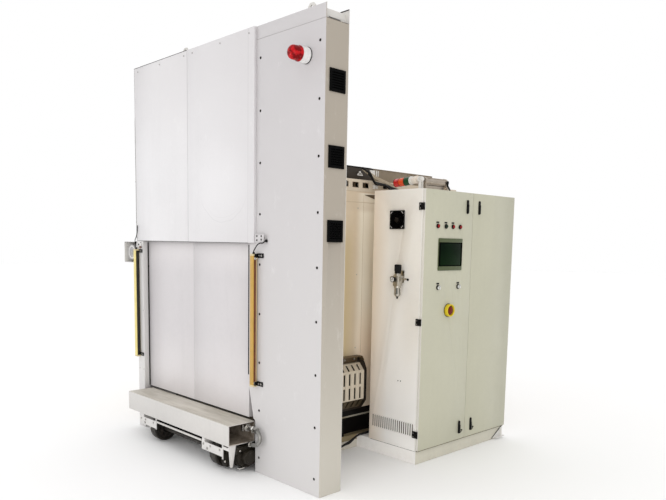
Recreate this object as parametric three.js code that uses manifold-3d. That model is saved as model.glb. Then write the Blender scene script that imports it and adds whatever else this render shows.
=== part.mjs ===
// Trolley furnace with a lifting door in a portal, a furnace body behind it
// and a control cabinet at the right rear. Millimetres, +Z up. The workshop
// datum is the bottom left corner of the right column's front panel:
// +X to the right, +Y to the back. The outer group moves the whole object so
// that its origin is the centre of the bounding box's bottom face.
import * as THREE from 'three';
import { mergeVertices } from 'three/addons/utils/BufferGeometryUtils.js';
import Module from 'manifold-3d';

const wasm = await Module();
wasm.setup();

// ---------------------------------------------------------------- dimensions
const ORIGIN = [-551.5, 934, 0]; // bounding box bottom centre in the workshop datum

const GAP = 0.3; // clearance between touching pieces
const SHEET = 3; // sheet metal thickness

// portal
const COLUMN_WIDTH = 633;
const PORTAL_DEPTH = 180;
const SIDE_PANEL_TOP = 2772;
const PORTAL_TOP = 2851;
const PORTAL_LEFT = -1553;
const COVER_FRONT = -18;
const COVER_BOTTOM = 1519;
const COVER_SEAM = -780.5;
const POST_RIGHT = -1454;
const DOORWAY = { x0: -1310, x1: -230, top: 1420 };
const VENT = { y0: 29, y1: 152, height: 127, bottoms: [1531, 1954, 2379] };

// lifting door and hoist
const DOOR = { x0: -1450, x1: -109, front: 30, back: 150, bottom: 345, top: 1600 };
const SHAFT_Y = 90;
const SHAFT_Z = 2760;
const SHAFT_R = 15;
const SPROCKET_R = 45;
const CHAIN_LOW_Z = 1350;
const CHAIN_X = [-1500, -35];

// trolley
const BEAM = { x0: -1405, x1: -41, y0: -187, y1: 27, z0: 194, z1: 333 };
const WHEEL_R = 95;
const WHEEL_Y = [-80, 1500];
const WHEEL_X = [[-1053, -247], [-1053, -320]]; // front and rear wheelset
const AXLE_END = [-209, -270];
const HEARTH = { x0: -1290, x1: -250, y0: 184, y1: 1780, top: 337 };

// furnace body
const FURNACE = { x0: -1545, x1: 50, y0: 183, y1: 2055, z0: 300.3, z1: 1985 };
const CHAMBER = { x0: -1300, x1: -240, y1: 1790, z1: 1420 };
const HOOD = { z: 2080, y1: 1790 };
const SIGNAL_TOWER = { x: 510, y: 1020, z: 1972, tilt: 4.3 }; // its pivot, and how far its end hangs, in degrees
const TERMINAL_GUARD = { y0: 290, y1: 873, z0: 330, z1: 660 };

// control cabinet
const CABINET = { x0: 177, x1: 617, y0: 917, y1: 2009, z0: 95.3, z1: 1900 };
const DOOR_FACE_X = 639;
const DOOR_SEAM_Y = 1463;
const CABINET_FAN = { x: 399, z: 1693.5, half: 63.5 };
const BUTTON_Y = [1057, 1148, 1228, 1311];
const BUTTON_Z = 1654;
const SELECTOR_Y = [1080, 1312];
const SELECTOR_Z = 1235;
const ESTOP = { y: 1206, z: 1070 };
const HANDLE_Y = [1391, 1535];
const HANDLE_TOP_Z = [1846, 240];
const HANDLE_LENGTH = 97;
const HANDLE_HALF_WIDTH = 9.5;
const FRL = { x: 453, y: 872 };

// ------------------------------------------------------------------- helpers
function solid(geometry) {
  const g = geometry.clone();
  g.deleteAttribute('normal');
  g.deleteAttribute('uv');
  const m = mergeVertices(g, 1e-4);
  return new wasm.Manifold(new wasm.Mesh({
    numProp: 3,
    vertProperties: new Float32Array(m.attributes.position.array),
    triVerts: new Uint32Array(m.index.array),
  }));
}

function box(x0, x1, y0, y1, z0, z1) {
  const g = new THREE.BoxGeometry(x1 - x0, y1 - y0, z1 - z0);
  g.translate((x0 + x1) / 2, (y0 + y1) / 2, (z0 + z1) / 2);
  return solid(g);
}

// a and b are the centre's other two coordinates, in X, Y, Z order
function cylinder(axis, a, b, from, to, r, segments = 24, r2 = r) {
  const g = new THREE.CylinderGeometry(r2, r, to - from, segments);
  const mid = (from + to) / 2;
  if (axis === 'x') { g.rotateZ(-Math.PI / 2); g.translate(mid, a, b); }
  if (axis === 'y') g.translate(a, mid, b);
  if (axis === 'z') { g.rotateX(Math.PI / 2); g.translate(a, b, mid); }
  return solid(g);
}

// a closed outline of [u, v] points swept along an axis: x takes (Y, Z),
// y takes (X, Z) and z takes (X, Y)
function prism(axis, outline, from, to, holes = []) {
  const shape = new THREE.Shape(outline.map(([u, v]) => new THREE.Vector2(u, v)));
  for (const hole of holes) shape.holes.push(new THREE.Path(hole.map(([u, v]) => new THREE.Vector2(u, v))));
  const g = new THREE.ExtrudeGeometry(shape, { depth: to - from, bevelEnabled: false });
  const m = new THREE.Matrix4();
  const v = (x, y, z) => new THREE.Vector3(x, y, z);
  if (axis === 'x') { m.makeBasis(v(0, 1, 0), v(0, 0, 1), v(1, 0, 0)); m.setPosition(from, 0, 0); }
  if (axis === 'y') { m.makeBasis(v(1, 0, 0), v(0, 0, 1), v(0, -1, 0)); m.setPosition(0, to, 0); }
  if (axis === 'z') m.setPosition(0, 0, from);
  g.applyMatrix4(m);
  return solid(g);
}

// a stadium outline: two half circles of radius r about (u, v0) and (u, v1)
function stadium(u, v0, v1, r, segments = 12) {
  const points = [];
  for (let i = 0; i <= segments; i += 1) {
    const a = Math.PI * i / segments;
    points.push([u + r * Math.cos(a), v1 + r * Math.sin(a)]);
  }
  for (let i = 0; i <= segments; i += 1) {
    const a = Math.PI + Math.PI * i / segments;
    points.push([u + r * Math.cos(a), v0 + r * Math.sin(a)]);
  }
  return points;
}

function rounded(u0, u1, v0, v1, r, n = 4) {
  const points = [];
  for (const [cu, cv, start] of [[u1 - r, v1 - r, 0], [u0 + r, v1 - r, 1], [u0 + r, v0 + r, 2], [u1 - r, v0 + r, 3]]) {
    for (let i = 0; i <= n; i += 1) {
      const a = (start + i / n) * Math.PI / 2;
      points.push([cu + r * Math.cos(a), cv + r * Math.sin(a)]);
    }
  }
  return points;
}

// a round bar bent along a smooth curve through the points
function bentBar(points, r, sides, steps) {
  const curve = new THREE.CatmullRomCurve3(points.map((p) => new THREE.Vector3(...p)), false, 'centripetal');
  const section = new THREE.Shape();
  for (let i = 0; i < sides; i += 1) {
    const a = 2 * Math.PI * i / sides;
    if (i === 0) section.moveTo(r, 0);
    else section.lineTo(r * Math.cos(a), r * Math.sin(a));
  }
  section.closePath();
  return solid(new THREE.ExtrudeGeometry(section, { steps, bevelEnabled: false, extrudePath: curve }));
}

// a profile of [radius, height] points turned about a vertical axis
function turned(points, segments = 24) {
  const g = new THREE.LatheGeometry(points.map(([r, h]) => new THREE.Vector2(r, h)), segments);
  return g;
}

const sum = (first, ...rest) => rest.reduce((a, b) => a.add(b), first);
const cut = (first, ...rest) => rest.reduce((a, b) => a.subtract(b), first);

const model = new THREE.Group();
model.position.set(-ORIGIN[0], -ORIGIN[1], -ORIGIN[2]);

function part(name, body, color, roughness, metalness = 0) {
  const mesh = body.getMesh();
  const g = new THREE.BufferGeometry();
  const stride = mesh.numProp;
  const xyz = new Float32Array((mesh.vertProperties.length / stride) * 3);
  for (let i = 0; i < xyz.length / 3; i += 1) {
    for (let k = 0; k < 3; k += 1) xyz[3 * i + k] = mesh.vertProperties[stride * i + k];
  }
  g.setAttribute('position', new THREE.BufferAttribute(xyz, 3));
  g.setIndex(new THREE.BufferAttribute(new Uint32Array(mesh.triVerts), 1));
  g.computeVertexNormals();
  const material = new THREE.MeshStandardMaterial({ color, roughness, metalness });
  const node = new THREE.Mesh(g, material);
  node.name = name;
  model.add(node);
  return node;
}

// ------------------------------------------------------------------- colours
const WHITE = 0xdddada;
const CREAM = 0xe2d8c6;
const GREY_GREEN = 0xc9c8b4;
const TAUPE = 0x8d7c68;
const BLACK = 0x0c0c0c;
const STEEL = 0xb8b6b2;
const YELLOW = 0xd0a12c;

// -------------------------------------------------------------- portal frame
{
  const depth = PORTAL_DEPTH;
  const y1 = depth - 2; // posts run into the rear plate
  let f = box(PORTAL_LEFT, COLUMN_WIDTH, depth - SHEET, depth, 0, PORTAL_TOP);
  f = cut(f, box(DOORWAY.x0, DOORWAY.x1, depth - 20, depth + 20, -10, DOORWAY.top));
  f = sum(
    f,
    box(20, 60, 3.5, 43.3, 0, 2830), // front posts of the right column
    box(565, 605, 3.5, 43.3, 0, 2830),
    box(565, 605, 137, y1, 0, 2830), // rear post of the right column
    box(20, 60, 3.5, y1, 0, 40), // bottom ties
    box(565, 605, 3.5, y1, 0, 40),
    box(20, 605, 3.5, 43.3, 0, 40),
    box(PORTAL_LEFT + 3.5, -1510, 137, y1, 0, 2830), // left rear post
    box(-1540, -4, COVER_FRONT + SHEET + 0.5, 43.3, 2790, 2830), // front top rail
    box(-10, 605, 3.5, 43.3, 2790, 2830),
    box(-1540, 605, 137, y1, 2790, 2830), // rear top rail
    box(-1540, -1512, -14, y1, 2790, 2830), // top ties
    box(20, 60, 3.5, y1, 2790, 2830),
    box(340, 425, 3.5, y1, 2806, 2830),
    box(565, 605, 3.5, y1, 2790, 2830),
    box(-1535, -1523, 55, 125, 2735, 2800), // shaft bearings
    box(25, 37, 55, 125, 2735, 2800),
    box(-103, -93, 120, y1, 340, 2740), // door guide bars
    box(-1466, -1456, 120, y1, 340, 2740),
    cylinder('x', SHAFT_Y, CHAIN_LOW_Z, -1512, -1496, SPROCKET_R, 24), // lower chain shoes
    box(-1522, -1508, 75, y1, CHAIN_LOW_Z - 15, CHAIN_LOW_Z + 15),
    cylinder('x', SHAFT_Y, CHAIN_LOW_Z, -39, -22, SPROCKET_R, 24),
    box(-27, -12, 75, y1, CHAIN_LOW_Z - 15, CHAIN_LOW_Z + 15),
    prism('y', [[-876, 2825], [-816, 2825], [-816, 2866], [-831, 2884], [-861, 2884], [-876, 2866]], 9, 19), // lifting lugs
    prism('y', [[467, 2825], [527, 2825], [527, 2862], [512, 2879], [482, 2879], [467, 2862]], 9, 19),
  );
  f = cut(
    f,
    cylinder('x', SHAFT_Y, SHAFT_Z, -1540, -1515, SHAFT_R + 1, 24),
    cylinder('x', SHAFT_Y, SHAFT_Z, 20, 45, SHAFT_R + 1, 24),
    cylinder('y', -846, 2862, 5, 25, 11, 16),
    cylinder('y', 497, 2858, 5, 25, 10, 16),
  );
  part('gantry_frame', f, WHITE, 0.5, 0.1);
}

// ------------------------------------------------ right column sheet casing
{
  const front = prism('y', [
    [0, 0], [COLUMN_WIDTH, 0], [COLUMN_WIDTH, PORTAL_TOP], [0, PORTAL_TOP], [0, 1560],
    [-70, 1560], [-70, 570], [-20, 358], [-4, 352], [0, 340],
  ], 0, SHEET);
  let casing = sum(front, box(COLUMN_WIDTH - SHEET, COLUMN_WIDTH, 0, PORTAL_DEPTH - SHEET - GAP, 0, SIDE_PANEL_TOP));
  casing = cut(casing, box(-10, COLUMN_WIDTH + 10, -1, 1, SIDE_PANEL_TOP - 0.7, SIDE_PANEL_TOP + 0.7));
  const yc = (VENT.y0 + VENT.y1) / 2;
  for (const z of VENT.bottoms) {
    casing = cut(casing, box(COLUMN_WIDTH - 10, COLUMN_WIDTH + 10, yc - 50, yc + 50, z + VENT.height / 2 - 50, z + VENT.height / 2 + 50));
  }
  part('column_casing', casing, WHITE, 0.45, 0.05);

  const names = ['side_vent_lower', 'side_vent_middle', 'side_vent_upper'];
  VENT.bottoms.forEach((z, k) => {
    let guard = box(COLUMN_WIDTH + GAP, COLUMN_WIDTH + 8, VENT.y0, VENT.y1, z, z + VENT.height);
    for (let i = 0; i < 7; i += 1) {
      const zs = z + 18 + i * 14;
      guard = cut(guard, box(COLUMN_WIDTH - 5, COLUMN_WIDTH + 15, VENT.y0 + 16, VENT.y1 - 16, zs, zs + 7));
    }
    part(names[k], guard, BLACK, 0.6);
  });
}

// ------------------------------------------------- left post sheet casing
{
  const x0 = PORTAL_LEFT;
  const post = sum(
    box(x0, POST_RIGHT, COVER_FRONT, COVER_FRONT + SHEET, 0, COVER_BOTTOM - 0.5),
    box(x0, x0 + SHEET, COVER_FRONT, PORTAL_DEPTH - SHEET - GAP, 0, PORTAL_TOP),
    box(POST_RIGHT - SHEET, POST_RIGHT, COVER_FRONT, 29, 0, COVER_BOTTOM - 0.5),
  );
  part('left_post', post, WHITE, 0.45, 0.05);
}

// ------------------------------------------------- upper covers, two halves
{
  const y0 = COVER_FRONT;
  const y1 = COVER_FRONT + SHEET;
  const left = sum(
    box(PORTAL_LEFT + 3.5, COVER_SEAM - 1, y0, y1, COVER_BOTTOM, PORTAL_TOP),
    box(PORTAL_LEFT + 3.5, COVER_SEAM - 1, y0, -3, COVER_BOTTOM, COVER_BOTTOM + SHEET),
  );
  const right = sum(
    box(COVER_SEAM + 1, 0, y0, y1, COVER_BOTTOM, PORTAL_TOP),
    box(COVER_SEAM + 1, 0, y0, -3, COVER_BOTTOM, COVER_BOTTOM + SHEET),
    box(-SHEET, 0, y0, -GAP, COVER_BOTTOM, PORTAL_TOP),
  );
  part('upper_cover_left', left, WHITE, 0.45, 0.05);
  part('upper_cover_right', right, WHITE, 0.45, 0.05);
}

// -------------------------------------------------------------------- hoist
{
  const shaft = sum(
    cylinder('x', SHAFT_Y, SHAFT_Z, -1534, 334, SHAFT_R, 24),
    cylinder('x', SHAFT_Y, SHAFT_Z, CHAIN_X[0] - 3, CHAIN_X[0] + 3, SPROCKET_R, 24),
    cylinder('x', SHAFT_Y, SHAFT_Z, CHAIN_X[1] - 3, CHAIN_X[1] + 3, SPROCKET_R, 24),
  );
  part('hoist_shaft', shaft, STEEL, 0.35, 0.9);
  const outer = stadium(SHAFT_Y, CHAIN_LOW_Z, SHAFT_Z, 54);
  const inner = stadium(SHAFT_Y, CHAIN_LOW_Z, SHAFT_Z, 46);
  part('chain_left', prism('x', outer, CHAIN_X[0] - 5, CHAIN_X[0] + 5, [inner]), 0x6a6660, 0.4, 0.9);
  part('chain_right', prism('x', outer, CHAIN_X[1] - 5, CHAIN_X[1] + 5, [inner]), 0x6a6660, 0.4, 0.9);
  part('counterweight', sum(
    box(2, 220, 50, 165, 1900, 2690),
    box(CHAIN_X[1] + 5 + GAP, 10, 125, 152, 2560, 2600),
  ), 0x55585a, 0.7, 0.4);
  part('hoist_gearmotor', sum(
    box(335, 430, 46, 134, 2700, 2805.7),
    cylinder('x', 90, 2742, 425, 556, 50, 24),
    box(470, 520, 60, 120, 2780, 2802),
  ), 0x4a5a66, 0.5, 0.3);
}

// ------------------------------------------------------------ lifting door
{
  const d = DOOR;
  const skin = cut(
    box(d.x0, d.x1, d.front, d.back - 10, d.bottom, d.top),
    box(d.x0 + SHEET, d.x1 - SHEET, d.front + SHEET, d.back, d.bottom + SHEET, d.top + 10),
    box(-789, -787, d.front - 1, d.front + 1, d.bottom - 1, d.top + 1),
  );
  part('door_skin', skin, WHITE, 0.45, 0.05);
  const x0 = d.x0 + SHEET + GAP;
  const x1 = d.x1 - SHEET - GAP;
  const z0 = d.bottom + SHEET + GAP;
  const y0 = d.front + SHEET + GAP;
  let frame = sum(
    box(x0, x0 + 50, y0, 88, z0, 1640),
    box(x1 - 50, x1, y0, 88, z0, 1640),
    box(x0, x1, y0, 88, z0, z0 + 50),
    box(x0, x1, y0, 88, 1600.5, 1640),
    box(x0, x1, y0, 48, 930, 980),
    box(CHAIN_X[0] + 5 + GAP, x0 + 20, 34, 58, 1602, 1638), // chain lugs
    box(x1 - 20, CHAIN_X[1] - 5 - GAP, 34, 58, 1602, 1638),
  );
  part('door_frame', frame, 0x9a9894, 0.6, 0.6);
  part('door_insulation', sum(
    box(x0 + 50.5, x1 - 50.5, 48.5, 90, z0 + 50.5, 1600),
    box(x0 + 0.2, x1 - 0.2, 88.5, d.back, z0 + 0.2, 1600),
  ), 0xefe9dc, 0.95);
}

// ------------------------------------------------------------------ trolley
{
  const b = BEAM;
  let frame = sum(
    box(HEARTH.x0, HEARTH.x1, b.y1 + 1, HEARTH.y1, 200, 231), // deck
    box(-1210, -1130, b.y1 + 1, HEARTH.y1, 120, 205), // long beams
    box(-440, -385, b.y1 + 1, HEARTH.y1, 120, 205),
    box(-1210, -1180, -179, b.y1 + 2, 120, 192.5), // front outriggers under the beam
    box(-365, -335, -179, b.y1 + 3, 120, 192.5),
    box(-365, -335, b.y1 + 1, b.y1 + 33, 120, 205),
  );
  // bearing brackets: flat bar, upright plate and stiffener
  frame = sum(
    frame,
    box(-1234, -987, -181, -175.3, 112, 168),
    box(-996, -987, -181, -175.3, 106, 192),
    box(-1234, -1180, -176, -120, 150, 158),
    box(-365, -114, -181, -175.3, 108, 164),
    box(-123, -114, -181, -175.3, 92, 192),
    box(-365, -325, -176, -120, 150, 158),
  );
  // axle bearings, hung from the long beams and outriggers
  for (const y of WHEEL_Y) {
    frame = sum(
      frame,
      box(-1190, -1178, y - 45, y + 45, 55, 160),
      y < 0 ? box(-355, -343, y - 45, y + 45, 55, 160) : box(-425, -413, y - 45, y + 45, 55, 160),
    );
  }
  // sloping leg plate at the right front corner, carried from the flat bar
  frame = sum(
    frame,
    prism('x', [[-183, 193.5], [-127, 193.5], [-150, 60], [-156, 50], [-166, 50], [-172, 60]], -47, -41),
    box(-120, -44, -178, -172, 160, 180),
  );
  for (const y of WHEEL_Y) {
    frame = cut(
      frame,
      cylinder('x', y, WHEEL_R + 0.3, -1200, -1100, 19, 16),
      cylinder('x', y, WHEEL_R + 0.3, -445, -330, 19, 16),
    );
  }
  part('trolley_frame', frame, 0xd6d4d0, 0.5, 0.2);

  const beam = cut(
    box(b.x0, b.x1, b.y0, b.y1, b.z0, b.z1),
    box(b.x0 - 10, b.x1 + 10, b.y0 + 5, b.y1 - 5, b.z0 + 6, b.z1 - 5),
  );
  part('bumper_beam', beam, 0xd6d4d0, 0.45, 0.3);

  part('hearth_slab', sum(
    box(HEARTH.x0, HEARTH.x1, HEARTH.y0, HEARTH.y1, 231.5, HEARTH.top),
  ), 0xe6dcc8, 0.95);

  for (const [k, name] of [[0, 'wheelset_front'], [1, 'wheelset_rear']]) {
    const y = WHEEL_Y[k];
    const z = WHEEL_R + 0.3;
    const wheel = (x) => {
      const g = turned([[0, -35], [95, -35], [95, 35], [60, 35], [58, 28], [34, 28], [32, 38], [0, 38]], 24);
      g.rotateZ(-Math.PI / 2);
      g.translate(x, y, z);
      return solid(g);
    };
    const set = sum(wheel(WHEEL_X[k][0]), wheel(WHEEL_X[k][1]), cylinder('x', y, z, -1194, AXLE_END[k], 17.5, 16));
    part(name, set, 0x1c1b1a, 0.6, 0.4);
  }

  const motor = sum(
    box(-200, -150, -130, 45, 22, 180),
    cylinder('x', -30, 98, -160, -45, 74, 24),
    cylinder('x', -30, 98, -47, -8, 52, 8),
    box(-140, -70, 20, 85, 100, 172),
  );
  part('trolley_gearmotor', motor, 0x24221f, 0.55, 0.4);

  // conduit: silver gland in the beam's open end, bend outside it and return under the beam
  const conduit = sum(
    bentBar([[-32, -35, 298], [20, -35, 300], [72, -35, 290], [97, -35, 255], [82, -35, 215], [40, -35, 196], [-10, -35, 190]], 12, 10, 30),
    cylinder('x', -35, 298, -70, 40, 17, 8),
    cylinder('x', -35, 298, 40, 66, 20, 6),
  );
  part('conduit_bend', cut(conduit, box(-60, -36, -90, 30, 150, 260)), 0xa8a59f, 0.4, 0.5);
}

// -------------------------------------------------- warning and safety parts
{
  const bx = 472;
  const bz = 2592;
  part('beacon_base', sum(
    cylinder('y', bx, bz, -40, -GAP, 46, 24),
    cylinder('y', bx, bz, -58, -39, 41, 24),
  ), 0xe6e4e0, 0.35);
  // dome: a cup turned about the Y axis, open towards the base
  const dome = turned([
    [0, 134], [19.5, 130.5], [32, 121], [40, 104], [43, 58.4],
    [39, 58.4], [36.5, 103], [29.5, 116], [18, 125], [0, 128],
  ].reverse(), 24);
  dome.rotateX(Math.PI);
  dome.translate(bx, 0, bz);
  part('beacon_dome', solid(dome), 0xc01822, 0.2);

  const curtain = (x0, x1, y0, y1, z0, z1) => prism('z', rounded(x0, x1, y0, y1, 3, 2), z0, z1);
  part('light_curtain_right', sum(
    curtain(-14, 22, -39, -5, 585, 1447),
    box(-9, 17, -7, -GAP, 590, 612),
    box(-9, 17, -7, -GAP, 1420, 1442),
  ), YELLOW, 0.4);
  part('light_curtain_left', sum(
    curtain(-1549, -1513, -53, -20, 583, 1449),
    box(-1544, -1518, -22, COVER_FRONT - GAP, 590, 612),
    box(-1544, -1518, -22, COVER_FRONT - GAP, 1420, 1442),
  ), YELLOW, 0.4);
  part('curtain_cable', bentBar([
    [4, -22, 1449], [4.5, -22.5, 1462], [30, -29, 1486], [56, -30, 1508], [82, -30, 1518], [102, -26, 1518], [110, -16, 1528], [112, -4.5, 1532],
  ], 3.5, 8, 26), BLACK, 0.6);

  // sounder in an open square bracket beside the left post
  const x0 = -1770;
  const x1 = PORTAL_LEFT - GAP;
  let frame = prism('y', rounded(x0, x1, 1340, 1510, 12, 4), -18, 82);
  frame = cut(frame, box(x0 + 4, x1 - 4, -30, 78, 1344, 1506));
  frame = cut(frame, box(-1640, -1590, 0, 70, 1330, 1350));
  part('sounder_bracket', frame, 0xdcdad8, 0.45, 0.1);
  part('sounder', sum(
    cylinder('y', -1662, 1425, 12, 77.7, 60, 24),
    cylinder('y', -1662, 1425, -6, 13, 52, 24),
  ), 0xa3a3a6, 0.5);
}

// ------------------------------------------------------------- furnace body
{
  const f = FURNACE;
  let shell = cut(
    box(f.x0, f.x1, f.y0, f.y1, f.z0, f.z1),
    box(f.x0 + 4, f.x1 - 4, f.y0 + 4, f.y1 - 4, f.z0 - 10, f.z1 - 4),
    box(DOORWAY.x0, DOORWAY.x1, f.y0 - 10, f.y0 + 10, f.z0 - 10, DOORWAY.top),
  );
  // square cooling holes in the top band, and the chamfered plate behind the terminal guard
  for (let i = 0; i < 6; i += 1) {
    const y = 925 - 104.5 * i;
    shell = cut(shell, box(f.x1 - 12, f.x1 + 10, y, y + 62, 1928, 1963));
  }
  const g = TERMINAL_GUARD;
  shell = sum(shell, prism('x', [
    [g.y0 - 10, 330], [g.y0 + 20, 300.3], [935, 300.3], [975, 338], [991, 356], [991, 592], [966, 648], [928, 700], [g.y0 + 20, 700], [g.y0 - 10, 660],
  ], f.x1 - 3, f.x1 + 20));
  part('furnace_shell', shell, CREAM, 0.5, 0.05);

  const lining = cut(
    box(f.x0 + 4.5, f.x1 - 4.5, f.y0 + 4.5, f.y1 - 4.5, f.z0 + 1, 1700),
    box(CHAMBER.x0, CHAMBER.x1, f.y0 - 10, CHAMBER.y1, f.z0 - 10, CHAMBER.z1),
  );
  part('furnace_lining', lining, 0xf0eadd, 0.95);

  // heating element: one bar laid as a serpentine on both side walls and the back wall
  let element = null;
  const levels = [470, 640, 810, 980, 1150, 1320];
  const xl = CHAMBER.x0 + 8;
  const xr = CHAMBER.x1 - 8;
  const yb = CHAMBER.y1 - 8;
  const yf = 290;
  levels.forEach((z, i) => {
    const run = sum(
      box(xl, xl + 14, yf, yb, z, z + 14),
      box(xl, xr, yb - 14, yb, z, z + 14),
      box(xr - 14, xr, yf, yb, z, z + 14),
    );
    element = element === null ? run : element.add(run);
    if (i > 0) {
      const link = i % 2 ? box(xl, xl + 14, yf, yf + 14, levels[i - 1], z + 14) : box(xr - 14, xr, yf, yf + 14, levels[i - 1], z + 14);
      element = element.add(link);
    }
  });
  part('heating_element', element, 0x6b5b4c, 0.6, 0.6);

  // sheet hood over the roof
  const outer = [[f.y0 + 1, f.z1 + GAP], [HOOD.y1, f.z1 + GAP], [HOOD.y1, HOOD.z - 2], [f.y0 + 1, HOOD.z]];
  const inner = [[f.y0 + 4, f.z1 - 20], [HOOD.y1 - 3, f.z1 - 20], [HOOD.y1 - 3, HOOD.z - 5], [f.y0 + 4, HOOD.z - 3]];
  part('roof_hood', cut(prism('x', outer, -1495, 0), prism('x', inner, -1492, -3)), TAUPE, 0.5, 0.3);

  // base: rails, posts and the plinth that carries furnace and cabinet
  const x0 = -1545;
  const x1 = 50;
  const y0 = 183.5;
  const y1 = 2055;
  let base = sum(
    box(x1 - 80, x1, y0, y1, 0, 100),
    box(x0, x0 + 80, y0, y1, 0, 100),
    box(x0, x1, y1 - 80, y1, 0, 100),
    box(x1 - 80, x1, y0, y1, 230, 300),
    box(x0, x0 + 80, y0, y1, 230, 300),
    box(x0, x1, y1 - 80, y1, 230, 300),
    box(x1 - 50, x1 - 47, y0 + 2, y1 - 2, 95, 235), // closing sheets between the rails
    box(x0 + 47, x0 + 50, y0 + 2, y1 - 2, 95, 235),
    box(x0 + 2, x1 - 2, y1 - 50, y1 - 47, 95, 235),
  );
  for (const x of [x0, x1 - 80]) {
    for (const y of [y0, 720, y1 - 80]) base = base.add(box(x, x + 80, y, y + (y === 720 ? 60 : 80), 90, 240));
  }
  base = base.add(cut(
    box(45, 619, CABINET.y0 + 3, CABINET.y1, 0, 95),
    box(53, 615, CABINET.y0 + 7, CABINET.y1 - 4, -5, 91),
    box(230, 560, 1000, 1900, 80, 110),
  ));
  part('base_frame', base, 0xe4e0da, 0.5, 0.05);

  // louvred guard over the element terminals, open towards the wall and underneath
  const xw = f.x1 + 20 + GAP;
  const profile = [[xw, g.z0], [108, g.z0], [156, 396], [156, 604], [108, g.z1], [xw, g.z1]];
  const hollow = [[xw - 5, g.z0 + 3], [106, g.z0 + 3], [153, 397.5], [153, 602.5], [106, g.z1 - 3], [xw - 5, g.z1 - 3]];
  let guard = cut(prism('y', profile, g.y0, g.y1), prism('y', hollow, g.y0 + 3, g.y1 - 3));
  guard = cut(guard, box(xw - 5, 104, g.y0 + 8, g.y1 - 8, g.z0 - 5, g.z0 + 4));
  for (let i = 0; i < 10; i += 1) {
    const y = g.y1 - 40 - i * 54;
    for (const [za, zb] of [[340, 388], [406, 490], [510, 594], [612, 650]]) {
      guard = cut(guard, box(95, 180, y - 8, y + 8, za, zb));
    }
  }
  part('terminal_guard', guard, 0xd8cdb8, 0.5, 0.1);
}

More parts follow.
